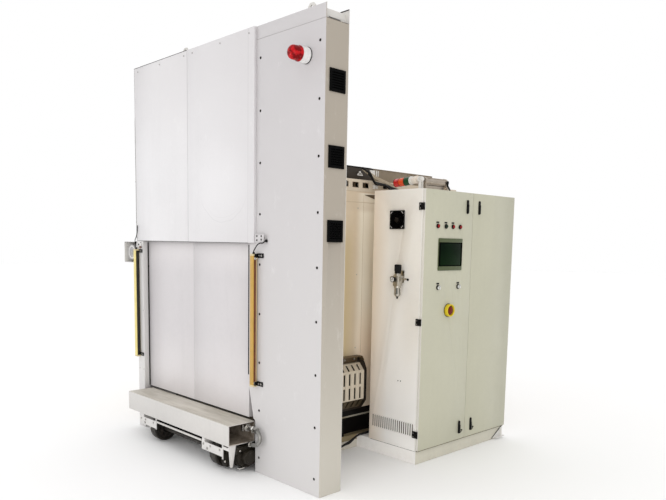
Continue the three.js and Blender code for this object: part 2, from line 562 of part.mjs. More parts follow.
// ---------------------------------------------------------- control cabinet
{
  const c = CABINET;
  let shell = cut(
    box(c.x0, c.x1, c.y0, c.y1, c.z0, c.z1),
    box(c.x0 + 3, c.x1 + 10, c.y0 + 3, c.y1 - 3, c.z0 + 3, c.z1 - 3),
    box(240, 550, 1010, 1890, c.z0 - 10, c.z0 + 10), // cable entry
    cylinder('y', CABINET_FAN.x, CABINET_FAN.z, c.y0 - 10, c.y0 + 10, 60, 24),
  );
  // vent slots low in the side wall
  for (let i = 0; i < 20; i += 1) {
    const x = 211 + i * 19.6;
    shell = cut(shell, box(x, x + 7, c.y0 - 10, c.y0 + 10, 199, 283));
  }
  part('cabinet_shell', shell, 0xe0dcd4, 0.45, 0.05);

  const door = (y0, y1) => cut(
    box(c.x1 + 0.5, DOOR_FACE_X, y0, y1, 100, 1898),
    box(c.x1 - 5, DOOR_FACE_X - 2, y0 + 2, y1 - 2, 102, 1896),
  );
  const holeX = [DOOR_FACE_X - 10, DOOR_FACE_X + 10];
  let left = door(c.y0 + 2, DOOR_SEAM_Y - 1.2);
  for (const y of BUTTON_Y) left = cut(left, cylinder('x', y, BUTTON_Z, ...holeX, 11.5, 16));
  left = cut(left, cylinder('x', ESTOP.y, ESTOP.z, ...holeX, 12, 16));
  part('cabinet_door_left', left, GREY_GREEN, 0.45, 0.05);
  part('cabinet_door_right', door(DOOR_SEAM_Y + 1.2, c.y1 - 1), GREY_GREEN, 0.45, 0.05);

  // panel with the switchgear and the power controller
  part('mounting_plate', sum(
    box(c.x0 + 12, c.x0 + 15, 960, 1966, 180, 1820),
    box(c.x0 + 3.3, c.x0 + 12.5, 975, 995, 200, 1800),
    box(c.x0 + 3.3, c.x0 + 12.5, 1931, 1951, 200, 1800),
    box(c.x0 + 14, c.x0 + 90, 1020, 1560, 1500, 1640),
    box(c.x0 + 14, c.x0 + 110, 1020, 1500, 1180, 1360),
    box(c.x0 + 14, c.x0 + 150, 1600, 1880, 1100, 1640),
    box(c.x0 + 14, c.x0 + 80, 1020, 1880, 860, 980),
    box(c.x0 + 14, c.x0 + 60, 1020, 1880, 420, 500),
  ), 0xb9a27a, 0.5, 0.4);

  // fan on the side wall: guard with rings, duct and rear spider
  const { x, z, half } = CABINET_FAN;
  const yFace = c.y0 - GAP;
  let fan = cut(
    box(x - half, x + half, yFace - 10, yFace, z - half, z + half),
    cylinder('y', x, z, yFace - 20, yFace + 10, 57, 24),
  );
  fan = sum(fan, cut(
    cylinder('y', x, z, yFace - 8, yFace + 45, 59, 24),
    cylinder('y', x, z, yFace - 20, yFace + 60, 56, 24),
  ));
  for (const r of [46, 31, 16]) {
    fan = fan.add(cut(
      cylinder('y', x, z, yFace - 10, yFace - 7, r, 16),
      cylinder('y', x, z, yFace - 20, yFace, r - 3, 16),
    ));
  }
  fan = sum(
    fan,
    box(x - 57, x + 57, yFace - 10, yFace - 7, z - 2, z + 2),
    box(x - 2, x + 2, yFace - 10, yFace - 7, z - 57, z + 57),
    box(x - 57, x + 57, yFace + 40, yFace + 44, z - 4, z + 4),
    box(x - 4, x + 4, yFace + 40, yFace + 44, z - 57, z + 57),
    cylinder('y', x, z, yFace + 40, yFace + 44, 20, 16),
  );
  part('cabinet_fan', fan, BLACK, 0.6);
  let rotor = cylinder('y', x, z, yFace + 4, yFace + 34, 20, 24);
  for (let i = 0; i < 7; i += 1) {
    const blade = new THREE.BoxGeometry(38, 22, 2.4);
    blade.rotateX(0.6);
    blade.translate(34, 0, 0);
    blade.rotateY(i * 2 * Math.PI / 7);
    blade.translate(x, yFace + 19, z);
    rotor = rotor.add(solid(blade));
  }
  part('cabinet_fan_rotor', rotor, BLACK, 0.6);

  // air preparation unit on the side wall
  const { x: fx, y: fy } = FRL;
  part('frl_body', sum(
    box(fx - 24, fx + 24, fy - 24, fy + 24, 1236, 1322),
    cylinder('z', fx, fy, 1318, 1334, 20, 20),
    cylinder('x', fy, 1293, fx - 66, fx + 66, 13, 12),
    cylinder('x', fy, 1293, fx + 60, fx + 96, 9, 12),
    cylinder('y', fx - 8, 1288, fy - 50, fy - 20, 20, 20),
    cylinder('z', fx, fy, 1178, 1240, 25, 20),
    cylinder('z', fx, fy, 1164, 1180, 12, 16, 20),
    cylinder('z', fx, fy, 1153, 1166, 6, 10),
    box(fx - 22, fx + 22, fy + 20, c.y0 - GAP, 1300, 1308),
    box(fx - 22, fx + 22, c.y0 - 3.3, c.y0 - GAP, 1262, 1346),
  ), 0xb9b4a6, 0.35, 0.4);
  part('frl_knob', cylinder('z', fx, fy, 1334.5, 1389, 25, 24, 24), BLACK, 0.55);

  part('hmi_panel', prism('x', rounded(1069, 1341, 1350, 1572, 5, 3), DOOR_FACE_X + GAP, DOOR_FACE_X + 6), 0x4e5a44, 0.3);

  const caps = [0x9e1f22, 0x18301f, 0xa02022, 0xa02022];
  BUTTON_Y.forEach((y, i) => {
    part(`pushbutton_${i + 1}`, sum(
      cylinder('x', y, BUTTON_Z, DOOR_FACE_X - 8, DOOR_FACE_X + 8, 10, 20),
      cylinder('x', y, BUTTON_Z, DOOR_FACE_X + 7.5, DOOR_FACE_X + 12, 12.5, 20),
    ), caps[i], 0.35);
  });
  SELECTOR_Y.forEach((y, i) => {
    part(i ? 'selector_right' : 'selector_left', sum(
      cylinder('x', y, SELECTOR_Z, DOOR_FACE_X + 0.4, DOOR_FACE_X + 12, 14, 24),
      box(DOOR_FACE_X + 10, DOOR_FACE_X + 22, y - 4.5, y + 4.5, SELECTOR_Z - 13.5, SELECTOR_Z + 13.5),
    ), 0xb8bab8, 0.3, 0.7);
  });
  part('estop_collar', cut(
    cylinder('x', ESTOP.y, ESTOP.z, DOOR_FACE_X + GAP, DOOR_FACE_X + 28, 44, 24),
    cylinder('x', ESTOP.y, ESTOP.z, DOOR_FACE_X + 4, DOOR_FACE_X + 40, 36, 24),
    cylinder('x', ESTOP.y, ESTOP.z, DOOR_FACE_X - 10, DOOR_FACE_X + 20, 12, 20),
  ), 0xd9c928, 0.4);
  const cap = turned([[0, -10], [10, -10], [10, 10], [28, 12], [31, 16], [29, 23], [18, 27], [0, 28]], 20);
  cap.rotateZ(-Math.PI / 2);
  cap.translate(DOOR_FACE_X, ESTOP.y, ESTOP.z);
  part('estop_button', solid(cap), 0x8e1b1b, 0.4);

  const handleNames = [['handle_upper_left', 'handle_upper_right'], ['handle_lower_left', 'handle_lower_right']];
  HANDLE_TOP_Z.forEach((top, row) => HANDLE_Y.forEach((y, col) => {
    const r = HANDLE_HALF_WIDTH;
    let lever = prism('x', stadium(y, top - HANDLE_LENGTH + r, top - r, r, 8), DOOR_FACE_X + GAP, DOOR_FACE_X + 8);
    lever = lever.add(prism('x', stadium(y, top - HANDLE_LENGTH + r, top - 36, r - 2.5, 8), DOOR_FACE_X + 7, DOOR_FACE_X + 13));
    part(handleNames[row][col], lever, BLACK, 0.45);
  }));

  // folding signal tower on the roof, lying down at rest with its end low, and its foot
  const tower = SIGNAL_TOWER;
  part('stack_light_foot', sum(
    box(tower.x - 25, tower.x + 25, tower.y - 26, tower.y + 26, c.z1 + GAP, c.z1 + 8),
    box(tower.x - 9, tower.x + 9, tower.y - 15, tower.y - 9.5, c.z1 + 7, tower.z + 5),
    box(tower.x - 9, tower.x + 9, tower.y + 9.5, tower.y + 15, c.z1 + 7, tower.z + 5),
    cylinder('y', tower.x, tower.z, tower.y - 15, tower.y - 9.5, 17, 24),
    cylinder('y', tower.x, tower.z, tower.y + 9.5, tower.y + 15, 17, 24),
  ), 0xe8e6e0, 0.4);
  const lying = sum(
    cylinder('y', tower.x, tower.z, tower.y - 8.5, tower.y + 8.5, 17, 24),
    box(tower.x - 38, tower.x - 5, tower.y - 8, tower.y + 8, tower.z - 7, tower.z + 7),
    cylinder('x', tower.y, tower.z, tower.x - 88, tower.x - 28, 20, 24, 28),
    cylinder('x', tower.y, tower.z, tower.x - 228, tower.x - 87, 29, 24),
  );
  part('stack_light', lying.translate([-tower.x, 0, -tower.z]).rotate([0, -tower.tilt, 0]).translate([tower.x, 0, tower.z]), 0xd86a2a, 0.3);

  part('air_cylinder', sum(
    cylinder('y', 500, 1962, 1062, 1292, 27, 28),
    cylinder('y', 500, 1962, 1052, 1068, 31, 20),
    cylinder('y', 500, 1962, 1280, 1304, 31, 20),
    box(476, 524, 1056, 1068, c.z1 + GAP, 1960),
    box(472, 528, 1284, 1302, c.z1 + GAP, 1960),
  ), 0xbdb8aa, 0.35, 0.6);
}

const furnace = new THREE.Group();
furnace.add(model);
furnace.updateMatrixWorld(true);

export default furnace;
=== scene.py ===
import math

import bmesh
import bpy
from mathutils import Matrix, Vector


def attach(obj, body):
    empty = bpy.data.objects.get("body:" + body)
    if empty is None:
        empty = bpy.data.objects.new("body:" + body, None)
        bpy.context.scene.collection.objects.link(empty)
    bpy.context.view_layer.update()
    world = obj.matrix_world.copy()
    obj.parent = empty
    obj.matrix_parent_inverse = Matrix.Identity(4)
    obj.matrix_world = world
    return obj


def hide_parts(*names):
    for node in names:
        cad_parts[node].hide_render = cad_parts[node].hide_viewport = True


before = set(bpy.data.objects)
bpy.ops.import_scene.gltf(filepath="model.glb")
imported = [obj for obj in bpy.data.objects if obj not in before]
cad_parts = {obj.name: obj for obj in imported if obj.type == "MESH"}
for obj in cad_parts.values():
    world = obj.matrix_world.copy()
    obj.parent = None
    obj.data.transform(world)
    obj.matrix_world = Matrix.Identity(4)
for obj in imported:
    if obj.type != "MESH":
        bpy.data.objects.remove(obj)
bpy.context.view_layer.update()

scene = bpy.context.scene
scene.view_settings.view_transform = "Standard"

# The measures below are millimetres from the lower left corner of the right
# column's front panel: +X right, +Y to the back, +Z up.
OX, OY = 551.5, -934.0


def V(x, y, z):
    return Vector(((x + OX) / 1000, (y + OY) / 1000, z / 1000))


# ------------------------------------------------------------------- camera
cam_data = bpy.data.cameras.new("camera")
camera = bpy.data.objects.new("camera", cam_data)
scene.collection.objects.link(camera)
yaw, pitch, roll = (math.radians(a) for a in (-46.18971, -6.72529, 1.00279))
ahead = Vector((math.sin(yaw) * math.cos(pitch), math.cos(yaw) * math.cos(pitch), math.sin(pitch)))
side = ahead.cross(Vector((0, 0, 1))).normalized()
over = side.cross(ahead)
side_r = side * math.cos(roll) + over * math.sin(roll)
over_r = over * math.cos(roll) - side * math.sin(roll)
pose = Matrix.Identity(4)
for i in range(3):
    pose[i][0], pose[i][1], pose[i][2] = side_r[i], over_r[i], -ahead[i]
pose[0][3], pose[1][3], pose[2][3] = 3.49777 + OX / 1000, -2.65754 + OY / 1000, 1.52665
camera.matrix_world = pose
cam_data.sensor_width = 36
cam_data.lens = 36 * 674.2934 / 666
cam_data.shift_y = 72.5161 / 666
cam_data.clip_end = 200
scene.camera = camera


# -------------------------------------------------------------- mesh making
class Shape:
    """Collects closed solids, in millimetres of the workshop datum."""

    def __init__(self):
        self.verts = []
        self.faces = []

    def _take(self, bm, turn=None):
        base = len(self.verts)
        bm.verts.index_update()
        for v in bm.verts:
            co = v.co.copy()
            self.verts.append(turn @ co if turn is not None else co)
        self.faces += [[base + v.index for v in f.verts] for f in bm.faces]
        bm.free()

    def box(self, x0, x1, y0, y1, z0, z1, r=0.0, seg=2, turn=None):
        bm = bmesh.new()
        bmesh.ops.create_cube(bm, size=1)
        c = Vector(((x0 + x1) / 2, (y0 + y1) / 2, (z0 + z1) / 2))
        for v in bm.verts:
            v.co = Vector((v.co.x * (x1 - x0), v.co.y * (y1 - y0), v.co.z * (z1 - z0)))
        if r:
            r = min(r, 0.45 * min(x1 - x0, y1 - y0, z1 - z0))
            bmesh.ops.bevel(bm, geom=bm.edges[:], offset=r, segments=seg, profile=0.5, affect="EDGES")
        m = Matrix.Translation(c)
        if turn is not None:
            m = m @ turn
        self._take(bm, m)
        return self

    def prism(self, axis, outline, a, b, r=0.0, seg=2):
        """An outline of (u, v) points swept from a to b: x takes (Y, Z), y takes (X, Z), z takes (X, Y)."""
        bm = bmesh.new()
        put = {"x": lambda u, v, w: (w, u, v), "y": lambda u, v, w: (u, w, v), "z": lambda u, v, w: (u, v, w)}[axis]
        lo = [bm.verts.new(put(u, v, a)) for u, v in outline]
        hi = [bm.verts.new(put(u, v, b)) for u, v in outline]
        n = len(outline)
        bm.faces.new(lo)
        bm.faces.new(list(reversed(hi)))
        for i in range(n):
            bm.faces.new((lo[i], hi[i], hi[(i + 1) % n], lo[(i + 1) % n]))
        bmesh.ops.recalc_face_normals(bm, faces=bm.faces[:])
        if r:
            bmesh.ops.bevel(bm, geom=bm.edges[:], offset=r, segments=seg, profile=0.5, affect="EDGES")
        self._take(bm)
        return self

    def lathe(self, profile, origin, direction, n=24):
        """A closed profile of (radius, distance) points turned about the line from origin along direction."""
        bm = bmesh.new()
        d = Vector(direction).normalized()
        u = d.orthogonal().normalized()
        w = d.cross(u)
        o = Vector(origin)
        rings = []
        for r, t in profile:
            if r < 1e-6:
                rings.append([bm.verts.new(o + d * t)])
            else:
                rings.append([bm.verts.new(o + d * t + (u * math.cos(2 * math.pi * k / n) + w * math.sin(2 * math.pi * k / n)) * r) for k in range(n)])
        closed = profile[0][0] > 1e-6 and profile[-1][0] > 1e-6
        pairs = list(zip(rings, rings[1:] + ([rings[0]] if closed else [])))
        if not closed:
            pairs = list(zip(rings, rings[1:]))
        for a, b in pairs:
            for k in range(n):
                j = (k + 1) % n
                if len(a) == 1 and len(b) == 1:
                    continue
                if len(a) == 1:
                    bm.faces.new((a[0], b[j], b[k]))
                elif len(b) == 1:
                    bm.faces.new((a[k], a[j], b[0]))
                else:
                    bm.faces.new((a[k], a[j], b[j], b[k]))
        bmesh.ops.recalc_face_normals(bm, faces=bm.faces[:])
        self._take(bm)
        return self

    def rod(self, p0, p1, r, n=20, ease=1.0):
        p0, p1 = Vector(p0), Vector(p1)
        length = (p1 - p0).length
        e = min(ease, 0.4 * length, 0.4 * r)
        return self.lathe([(0, 0), (r - e, 0), (r, e), (r, length - e), (r - e, length), (0, length)], p0, p1 - p0, n)

    def ring(self, p, direction, r0, r1, t0, t1, n=28, ease=0.6):
        e = min(ease, 0.3 * (r1 - r0), 0.3 * (t1 - t0))
        return self.lathe([(r0 + e, t0), (r1 - e, t0), (r1, t0 + e), (r1, t1 - e), (r1 - e, t1), (r0 + e, t1), (r0, t1 - e), (r0, t0 + e)], p, direction, n)

    def screw(self, p, direction, r, h=None):
        """A domed head with a socket, its seat at p."""
        h = h or 0.55 * r
        return self.lathe([(0, 0), (r, 0), (r, 0.35 * h), (0.86 * r, 0.8 * h), (0.6 * r, h), (0.42 * r, h), (0.36 * r, 0.4 * h), (0, 0.4 * h)], p, direction, 14)

    def bolt(self, p, direction, r, h=None):
        """A washer and a hexagon head."""
        h = h or 0.8 * r
        d = Vector(direction).normalized()
        self.lathe([(0, 0), (1.35 * r, 0), (1.35 * r, 0.2 * h), (0, 0.2 * h)], p, direction, 20)
        return self.lathe([(0, 0), (r, 0), (r, 0.75 * h), (0.88 * r, h), (0, h)], Vector(p) + d * 0.2 * h, direction, 6)

    def tube(self, points, r, n=10, sub=6):
        """A round bar along a smooth curve through the points."""
        p = [Vector(q) for q in points]
        path = []
        for i in range(len(p) - 1):
            a = p[i - 1] if i else p[0] * 2 - p[1]
            b, c = p[i], p[i + 1]
            d = p[i + 2] if i + 2 < len(p) else c * 2 - b
            for k in range(sub):
                t = k / sub
                path.append(0.5 * ((2 * b) + (c - a) * t + (2 * a - 5 * b + 4 * c - d) * t * t + (3 * b - a - 3 * c + d) * t ** 3))
        path.append(p[-1])
        bm = bmesh.new()
        rings = []
        u = None
        for i, q in enumerate(path):
            t = (path[min(i + 1, len(path) - 1)] - path[max(i - 1, 0)]).normalized()
            u = t.orthogonal().normalized() if u is None else (u - t * u.dot(t)).normalized()
            w = t.cross(u)
            rr = r(i / (len(path) - 1)) if callable(r) else r
            rings.append([bm.verts.new(q + (u * math.cos(2 * math.pi * k / n) + w * math.sin(2 * math.pi * k / n)) * rr) for k in range(n)])
        for a, b in zip(rings, rings[1:]):
            for k in range(n):
                bm.faces.new((a[k], a[(k + 1) % n], b[(k + 1) % n], b[k]))
        bm.faces.new(list(reversed(rings[0])))
        bm.faces.new(rings[-1])
        bmesh.ops.recalc_face_normals(bm, faces=bm.faces[:])
        self._take(bm)
        return self


def stadium(u, v0, v1, r, n=10):
    pts = [(u + r * math.cos(math.pi * i / n), v1 + r * math.sin(math.pi * i / n)) for i in range(n + 1)]
    return pts + [(u + r * math.cos(math.pi + math.pi * i / n), v0 + r * math.sin(math.pi + math.pi * i / n)) for i in range(n + 1)]


def rounded(u0, u1, v0, v1, r, n=4):
    pts = []
    for cu, cv, s in ((u1 - r, v1 - r, 0), (u0 + r, v1 - r, 1), (u0 + r, v0 + r, 2), (u1 - r, v0 + r, 3)):
        pts += [(cu + r * math.cos((s + i / n) * math.pi / 2), cv + r * math.sin((s + i / n) * math.pi / 2)) for i in range(n + 1)]
    return pts


def piece(name, shape, material, body="root", replaces=(), angle=35):
    mesh = bpy.data.meshes.new(name)
    mesh.from_pydata([V(*v) for v in shape.verts], [], shape.faces)
    mesh.validate()
    mesh.shade_smooth()
    mesh.set_sharp_from_angle(angle=math.radians(angle))
    mesh.materials.append(material)
    obj = bpy.data.objects.new(name, mesh)
    scene.collection.objects.link(obj)
    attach(obj, body)
    if replaces:
        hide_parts(*replaces)
    return obj


# ---------------------------------------------------------------- materials
def srgb(r, g, b):
    f = lambda c: c / 12.92 if c <= 0.04045 else ((c + 0.055) / 1.055) ** 2.4
    return (f(r / 255), f(g / 255), f(b / 255), 1.0)


class Finish:
    """A material built from nodes on object coordinates, which are metres of the frame."""

    def __init__(self, name, roughness=0.5, metallic=0.0, **sockets):
        self.m = bpy.data.materials.new(name)
        self.m.use_nodes = True
        self.nt = self.m.node_tree
        self.bsdf = self.nt.nodes["Principled BSDF"]
        tc = self.nt.nodes.new("ShaderNodeTexCoord")
        self.obj = tc.outputs["Object"]
        sep = self.node("ShaderNodeSeparateXYZ", (self.obj,))
        self.x, self.y, self.z = sep.outputs
        self.bsdf.inputs["Metallic"].default_value = metallic
        self.bsdf.inputs["Roughness"].default_value = roughness
        for k, v in sockets.items():
            self.bsdf.inputs[k.replace("_", " ")].default_value = v

    def node(self, kind, inputs=(), **props):
        n = self.nt.nodes.new(kind)
        for k, v in props.items():
            setattr(n, k, v)
        for i, v in enumerate(inputs):
            self.put(n.inputs[i], v)
        return n

    def put(self, socket, v):
        if isinstance(v, bpy.types.NodeSocket):
            self.nt.links.new(v, socket)
        elif v is not None:
            socket.default_value = v

    def math(self, op, a, b=None, clamp=False):
        n = self.node("ShaderNodeMath", (a, b) if b is not None else (a,), operation=op)
        n.use_clamp = clamp
        return n.outputs[0]

    def mix(self, fac, a, b, blend="MIX"):
        n = self.node("ShaderNodeMix", data_type="RGBA", blend_type=blend)
        self.put(n.inputs["Factor"], fac)
        self.put(n.inputs["A"], a)
        self.put(n.inputs["B"], b)
        # the colour sockets of a Mix node share their names with the float ones
        cols = [s for s in n.inputs if s.type == "RGBA"]
        self.put(cols[0], a)
        self.put(cols[1], b)
        return [s for s in n.outputs if s.type == "RGBA"][0]

    def span(self, v, a, b, c=0.0, d=1.0, smooth=True):
        n = self.node("ShaderNodeMapRange", (v, a, b, c, d), interpolation_type="SMOOTHSTEP" if smooth else "LINEAR")
        return n.outputs[0]

    def noise(self, scale, detail=3.0, rough=0.5, stretch=None, shift=(0, 0, 0)):
        vec = self.obj
        if stretch or any(shift):
            mp = self.node("ShaderNodeMapping", (vec,))
            mp.inputs["Scale"].default_value = stretch or (1, 1, 1)
            mp.inputs["Location"].default_value = shift
            vec = mp.outputs[0]
        n = self.node("ShaderNodeTexNoise", (vec,))
        n.inputs["Scale"].default_value = scale
        n.inputs["Detail"].default_value = detail
        n.inputs["Roughness"].default_value = rough
        return n.outputs[0]

    def spots(self, scale, stretch=None):
        vec = self.obj
        if stretch:
            mp = self.node("ShaderNodeMapping", (vec,))
            mp.inputs["Scale"].default_value = stretch
            vec = mp.outputs[0]
        n = self.node("ShaderNodeTexVoronoi", (vec,))
        n.inputs["Scale"].default_value = scale
        return n.outputs["Distance"]

    def between(self, v, a, b, soft=0.0006):
        """1 where v is between a and b, in metres."""
        lo = self.span(v, a - soft, a + soft) if a is not None else None
        hi = self.span(v, b - soft, b + soft, 1.0, 0.0) if b is not None else None
        if lo is None:
            return hi
        if hi is None:
            return lo
        return self.math("MULTIPLY", lo, hi)

    def inside(self, x=None, y=None, z=None, soft=0.0006):
        """A mask of a block, its bounds in millimetres of the workshop datum."""
        out = None
        for v, lim, off in ((self.x, x, OX), (self.y, y, OY), (self.z, z, 0.0)):
            if lim is None:
                continue
            a = (lim[0] + off) / 1000 if lim[0] is not None else None
            b = (lim[1] + off) / 1000 if lim[1] is not None else None
            m = self.between(v, a, b, soft)
            out = m if out is None else self.math("MULTIPLY", out, m)
        return out

    def facing(self, axis):
        """How far the surface faces +X, -Y and so on, 0 to 1."""
        g = self.nt.nodes.new("ShaderNodeNewGeometry")
        tr = self.node("ShaderNodeVectorTransform", (g.outputs["Normal"],), vector_type="NORMAL", convert_from="WORLD", convert_to="OBJECT")
        sep = self.node("ShaderNodeSeparateXYZ", (tr.outputs[0],))
        v = sep.outputs["xyz".index(axis[1])]
        if axis[0] == "-":
            v = self.math("MULTIPLY", v, -1.0)
        return self.span(v, 0.55, 0.8)

    def colour(self, c):
        self.put(self.bsdf.inputs["Base Color"], c)
        return self

    def rough(self, r):
        self.put(self.bsdf.inputs["Roughness"], r)
        return self

    def bump(self, height, strength=0.2, distance=0.001, normal=None):
        b = self.nt.nodes.new("ShaderNodeBump")
        b.inputs["Strength"].default_value = strength
        b.inputs["Distance"].default_value = distance
        self.put(b.inputs["Height"], height)
        if normal is not None:
            self.put(b.inputs["Normal"], normal)
        self.put(self.bsdf.inputs["Normal"], b.outputs[0])
        return b.outputs[0]


def paint(name, base, roughness=0.42, mottled=0.035, dust=0.25, regions=(), peel=0.05, streak=0.03, build=None, **sockets):
    """Sprayed paint on sheet: slow colour drift, faint runs, fine peel, dust near the floor."""
    f = Finish(name, roughness, 0.0, **sockets)
    c = base
    for fn in regions:
        mask, col = fn(f)
        c = f.mix(mask, c, col)
    drift = f.span(f.noise(1.7, 4, 0.55), 0.3, 0.7, 1 - mottled, 1 + mottled * 0.35)
    runs = f.span(f.noise(9, 3, 0.6, stretch=(1, 1, 0.08)), 0.45, 0.8, 1.0, 1 - streak)
    cloud = f.span(f.noise(38, 3, 0.6), 0.35, 0.7, 1.0, 1 - mottled * 0.45)
    k = f.math("MULTIPLY", f.math("MULTIPLY", drift, runs), cloud)
    kc = f.node("ShaderNodeCombineColor", (k, k, k)).outputs[0]
    c = f.mix(1.0, c, kc, "MULTIPLY")
    if dust:
        low = f.span(f.z, 0.0, 0.16, dust, 0.0)
        spread = f.math("MULTIPLY", low, f.span(f.noise(26, 5, 0.65), 0.35, 0.68))
        c = f.mix(spread, c, srgb(120, 108, 92))
    if build:
        c = build(f, c)
    f.colour(c)
    f.rough(f.span(f.noise(6, 4, 0.6), 0.3, 0.75, roughness - 0.05, roughness + 0.1))
    fine = f.noise(620, 2, 0.5)
    slow = f.noise(3.2, 2, 0.4)
    b1 = f.bump(slow, 0.10, 0.012)
    f.bump(fine, peel, 0.0006, b1)
    return f.m


def metal(name, base, roughness=0.35, brushed=None, stain=0.2, stain_col=None, grain=320, metallic=1.0):
    f = Finish(name, roughness, metallic)
    n = f.noise(14, 5, 0.65)
    c = f.mix(f.span(n, 0.42, 0.72, 0.0, stain), base, stain_col or tuple(0.45 * v for v in base[:3]) + (1,))
    speck = f.span(f.spots(190), 0.0, 0.22, 0.55 * stain, 0.0)
    c = f.mix(speck, c, tuple(0.3 * v for v in base[:3]) + (1,))
    f.colour(c)
    f.rough(f.span(f.noise(30, 4, 0.6), 0.3, 0.7, max(0.08, roughness - 0.1), roughness + 0.15))
    h = f.noise(grain, 2, 0.5, stretch=brushed) if brushed else f.noise(grain, 3, 0.6)
    f.bump(h, 0.12, 0.0006)
    return f.m


def plastic(name, base, roughness=0.4, grain=0.06, spread=0.06, dust=0.3, **sockets):
    f = Finish(name, roughness, 0.0, **sockets)
    c = f.mix(f.span(f.noise(22, 4, 0.6), 0.35, 0.7, 0.0, 1.0), base, tuple(v * (1 - spread) for v in base[:3]) + (1,))
    dusty = f.math("MULTIPLY", f.facing("+z"), f.span(f.noise(60, 4, 0.6), 0.4, 0.7, 0.15 * dust, dust))
    c = f.mix(dusty, c, srgb(150, 144, 134))
    f.colour(c)
    f.rough(f.span(f.noise(45, 3, 0.6), 0.3, 0.7, max(0.05, roughness - 0.06), roughness + 0.08))
    f.bump(f.noise(900, 2, 0.5), grain, 0.0004)
    return f.m


# Paints. Side faces of the column, the cabinet's edge strip and so on carry
# painted shade and painted light, set by where they are on the object.
WHITE = (0.70, 0.685, 0.675, 1)
COLUMN_SHADE_LOW = (0.635, 0.618, 0.612, 1)
COLUMN_SHADE_HIGH = (0.552, 0.532, 0.538, 1)
SIDE_SHADE_LOW = (0.555, 0.525, 0.46, 1)
SIDE_SHADE_HIGH = (0.395, 0.350, 0.292, 1)
CREAM = (0.72, 0.60, 0.44, 1)
GREEN = (0.53, 0.52, 0.405, 1)
BLACK = (0.012, 0.012, 0.012, 1)


def seams_portal(f, c):
    """Scuffs in rings round a painted highlight, a pale patch of reflected light on the right cover; faint handprints
    low on the sheets.
    """
    dx = f.math("DIVIDE", f.math("SUBTRACT", f.x, (-345 + OX) / 1000), 0.285)
    dz = f.math("DIVIDE", f.math("SUBTRACT", f.z, 1.895), 0.24)
    r = f.math("SQRT", f.math("ADD", f.math("MULTIPLY", dx, dx), f.math("MULTIPLY", dz, dz)))
    warp = f.math("ADD", r, f.math("MULTIPLY", f.noise(9, 3, 0.6), 0.12))
    front = f.inside(y=(-25, -10), x=(-720, -60), z=(1560, 2300))
    arc = f.math("MULTIPLY", f.between(warp, 1.045, 1.065, 0.012), f.span(f.z, 1.86, 1.72))
    arc = f.math("ADD", arc, f.math("MULTIPLY", f.between(warp, 0.93, 0.945, 0.01), f.span(f.z, 1.80, 1.70, 0.0, 0.6)))
    mark = f.math("MULTIPLY", f.math("MULTIPLY", arc, front), 0.42)
    c = f.mix(mark, c, (0.55, 0.54, 0.55, 1))
    rubs = f.math("MULTIPLY", f.inside(y=(-25, -10), x=(-700, -505), z=(1850, 2260), soft=0.03), f.between(f.noise(34, 3, 0.6, stretch=(1, 1, 0.35)), 0.575, 0.60, 0.012))
    c = f.mix(f.math("MULTIPLY", rubs, 0.34), c, (0.55, 0.54, 0.55, 1))
    # Painted highlight: a pale patch of reflected light on the right cover's front.
    painted_highlight = f.math("MULTIPLY", f.span(r, 0.2, 1.6, 0.30, 0.0), front)
    c = f.mix(painted_highlight, c, (0.84, 0.83, 0.84, 1))
    smear = f.math("MULTIPLY", f.span(f.noise(11, 5, 0.7, stretch=(1, 1, 0.5), shift=(3, 0, 1)), 0.58, 0.74, 0.0, 0.16), f.inside(z=(350, 2600)))
    return f.mix(smear, c, (0.93, 0.93, 0.93, 1))


def portal_tones(f, c):
    """Painted shade: the column's front grows darker higher up, and its side sheet facing +X is darker and warmer, most
    of all higher up.
    """
    column_shade = f.mix(f.span(f.z, 0.0, 2.4, smooth=False), COLUMN_SHADE_LOW, COLUMN_SHADE_HIGH)
    c = f.mix(f.inside(x=(-100, None)), c, column_shade)
    side_shade = f.mix(f.span(f.z, 0.2, 1.5, smooth=False), SIDE_SHADE_LOW, SIDE_SHADE_HIGH)
    c = f.mix(f.inside(x=(631.5, None)), c, side_shade)
    line = f.inside(x=(-60, 632), z=(2769.6, 2772.4))
    c = f.mix(f.math("MULTIPLY", line, 0.55), c, (0.16, 0.15, 0.145, 1))
    return seams_portal(f, c)


def cover_tones(f, c):
    # Painted shade: the covers grow darker towards the top and towards the right.
    c = f.mix(f.span(f.z, 2.0, 2.8, 0.0, 0.8), c, (0.70, 0.68, 0.685, 1))
    c = f.mix(f.span(f.x, (-1250 + OX) / 1000, (-150 + OX) / 1000, 0.0, 0.55, smooth=False), c, (0.60, 0.58, 0.59, 1))
    seam = f.math("MULTIPLY", f.inside(x=(-784.5, -781.5), soft=0.001), f.facing("-y"))
    c = f.mix(f.math("MULTIPLY", seam, 0.6), c, (0.30, 0.29, 0.29, 1))
    # Painted shade: a grey line along the fold at the right cover's edge.
    fold = f.math("MULTIPLY", f.inside(x=(-67, -64), soft=0.001), f.facing("-y"))
    c = f.mix(f.math("MULTIPLY", fold, 0.35), c, (0.30, 0.29, 0.29, 1))
    return seams_portal(f, c)


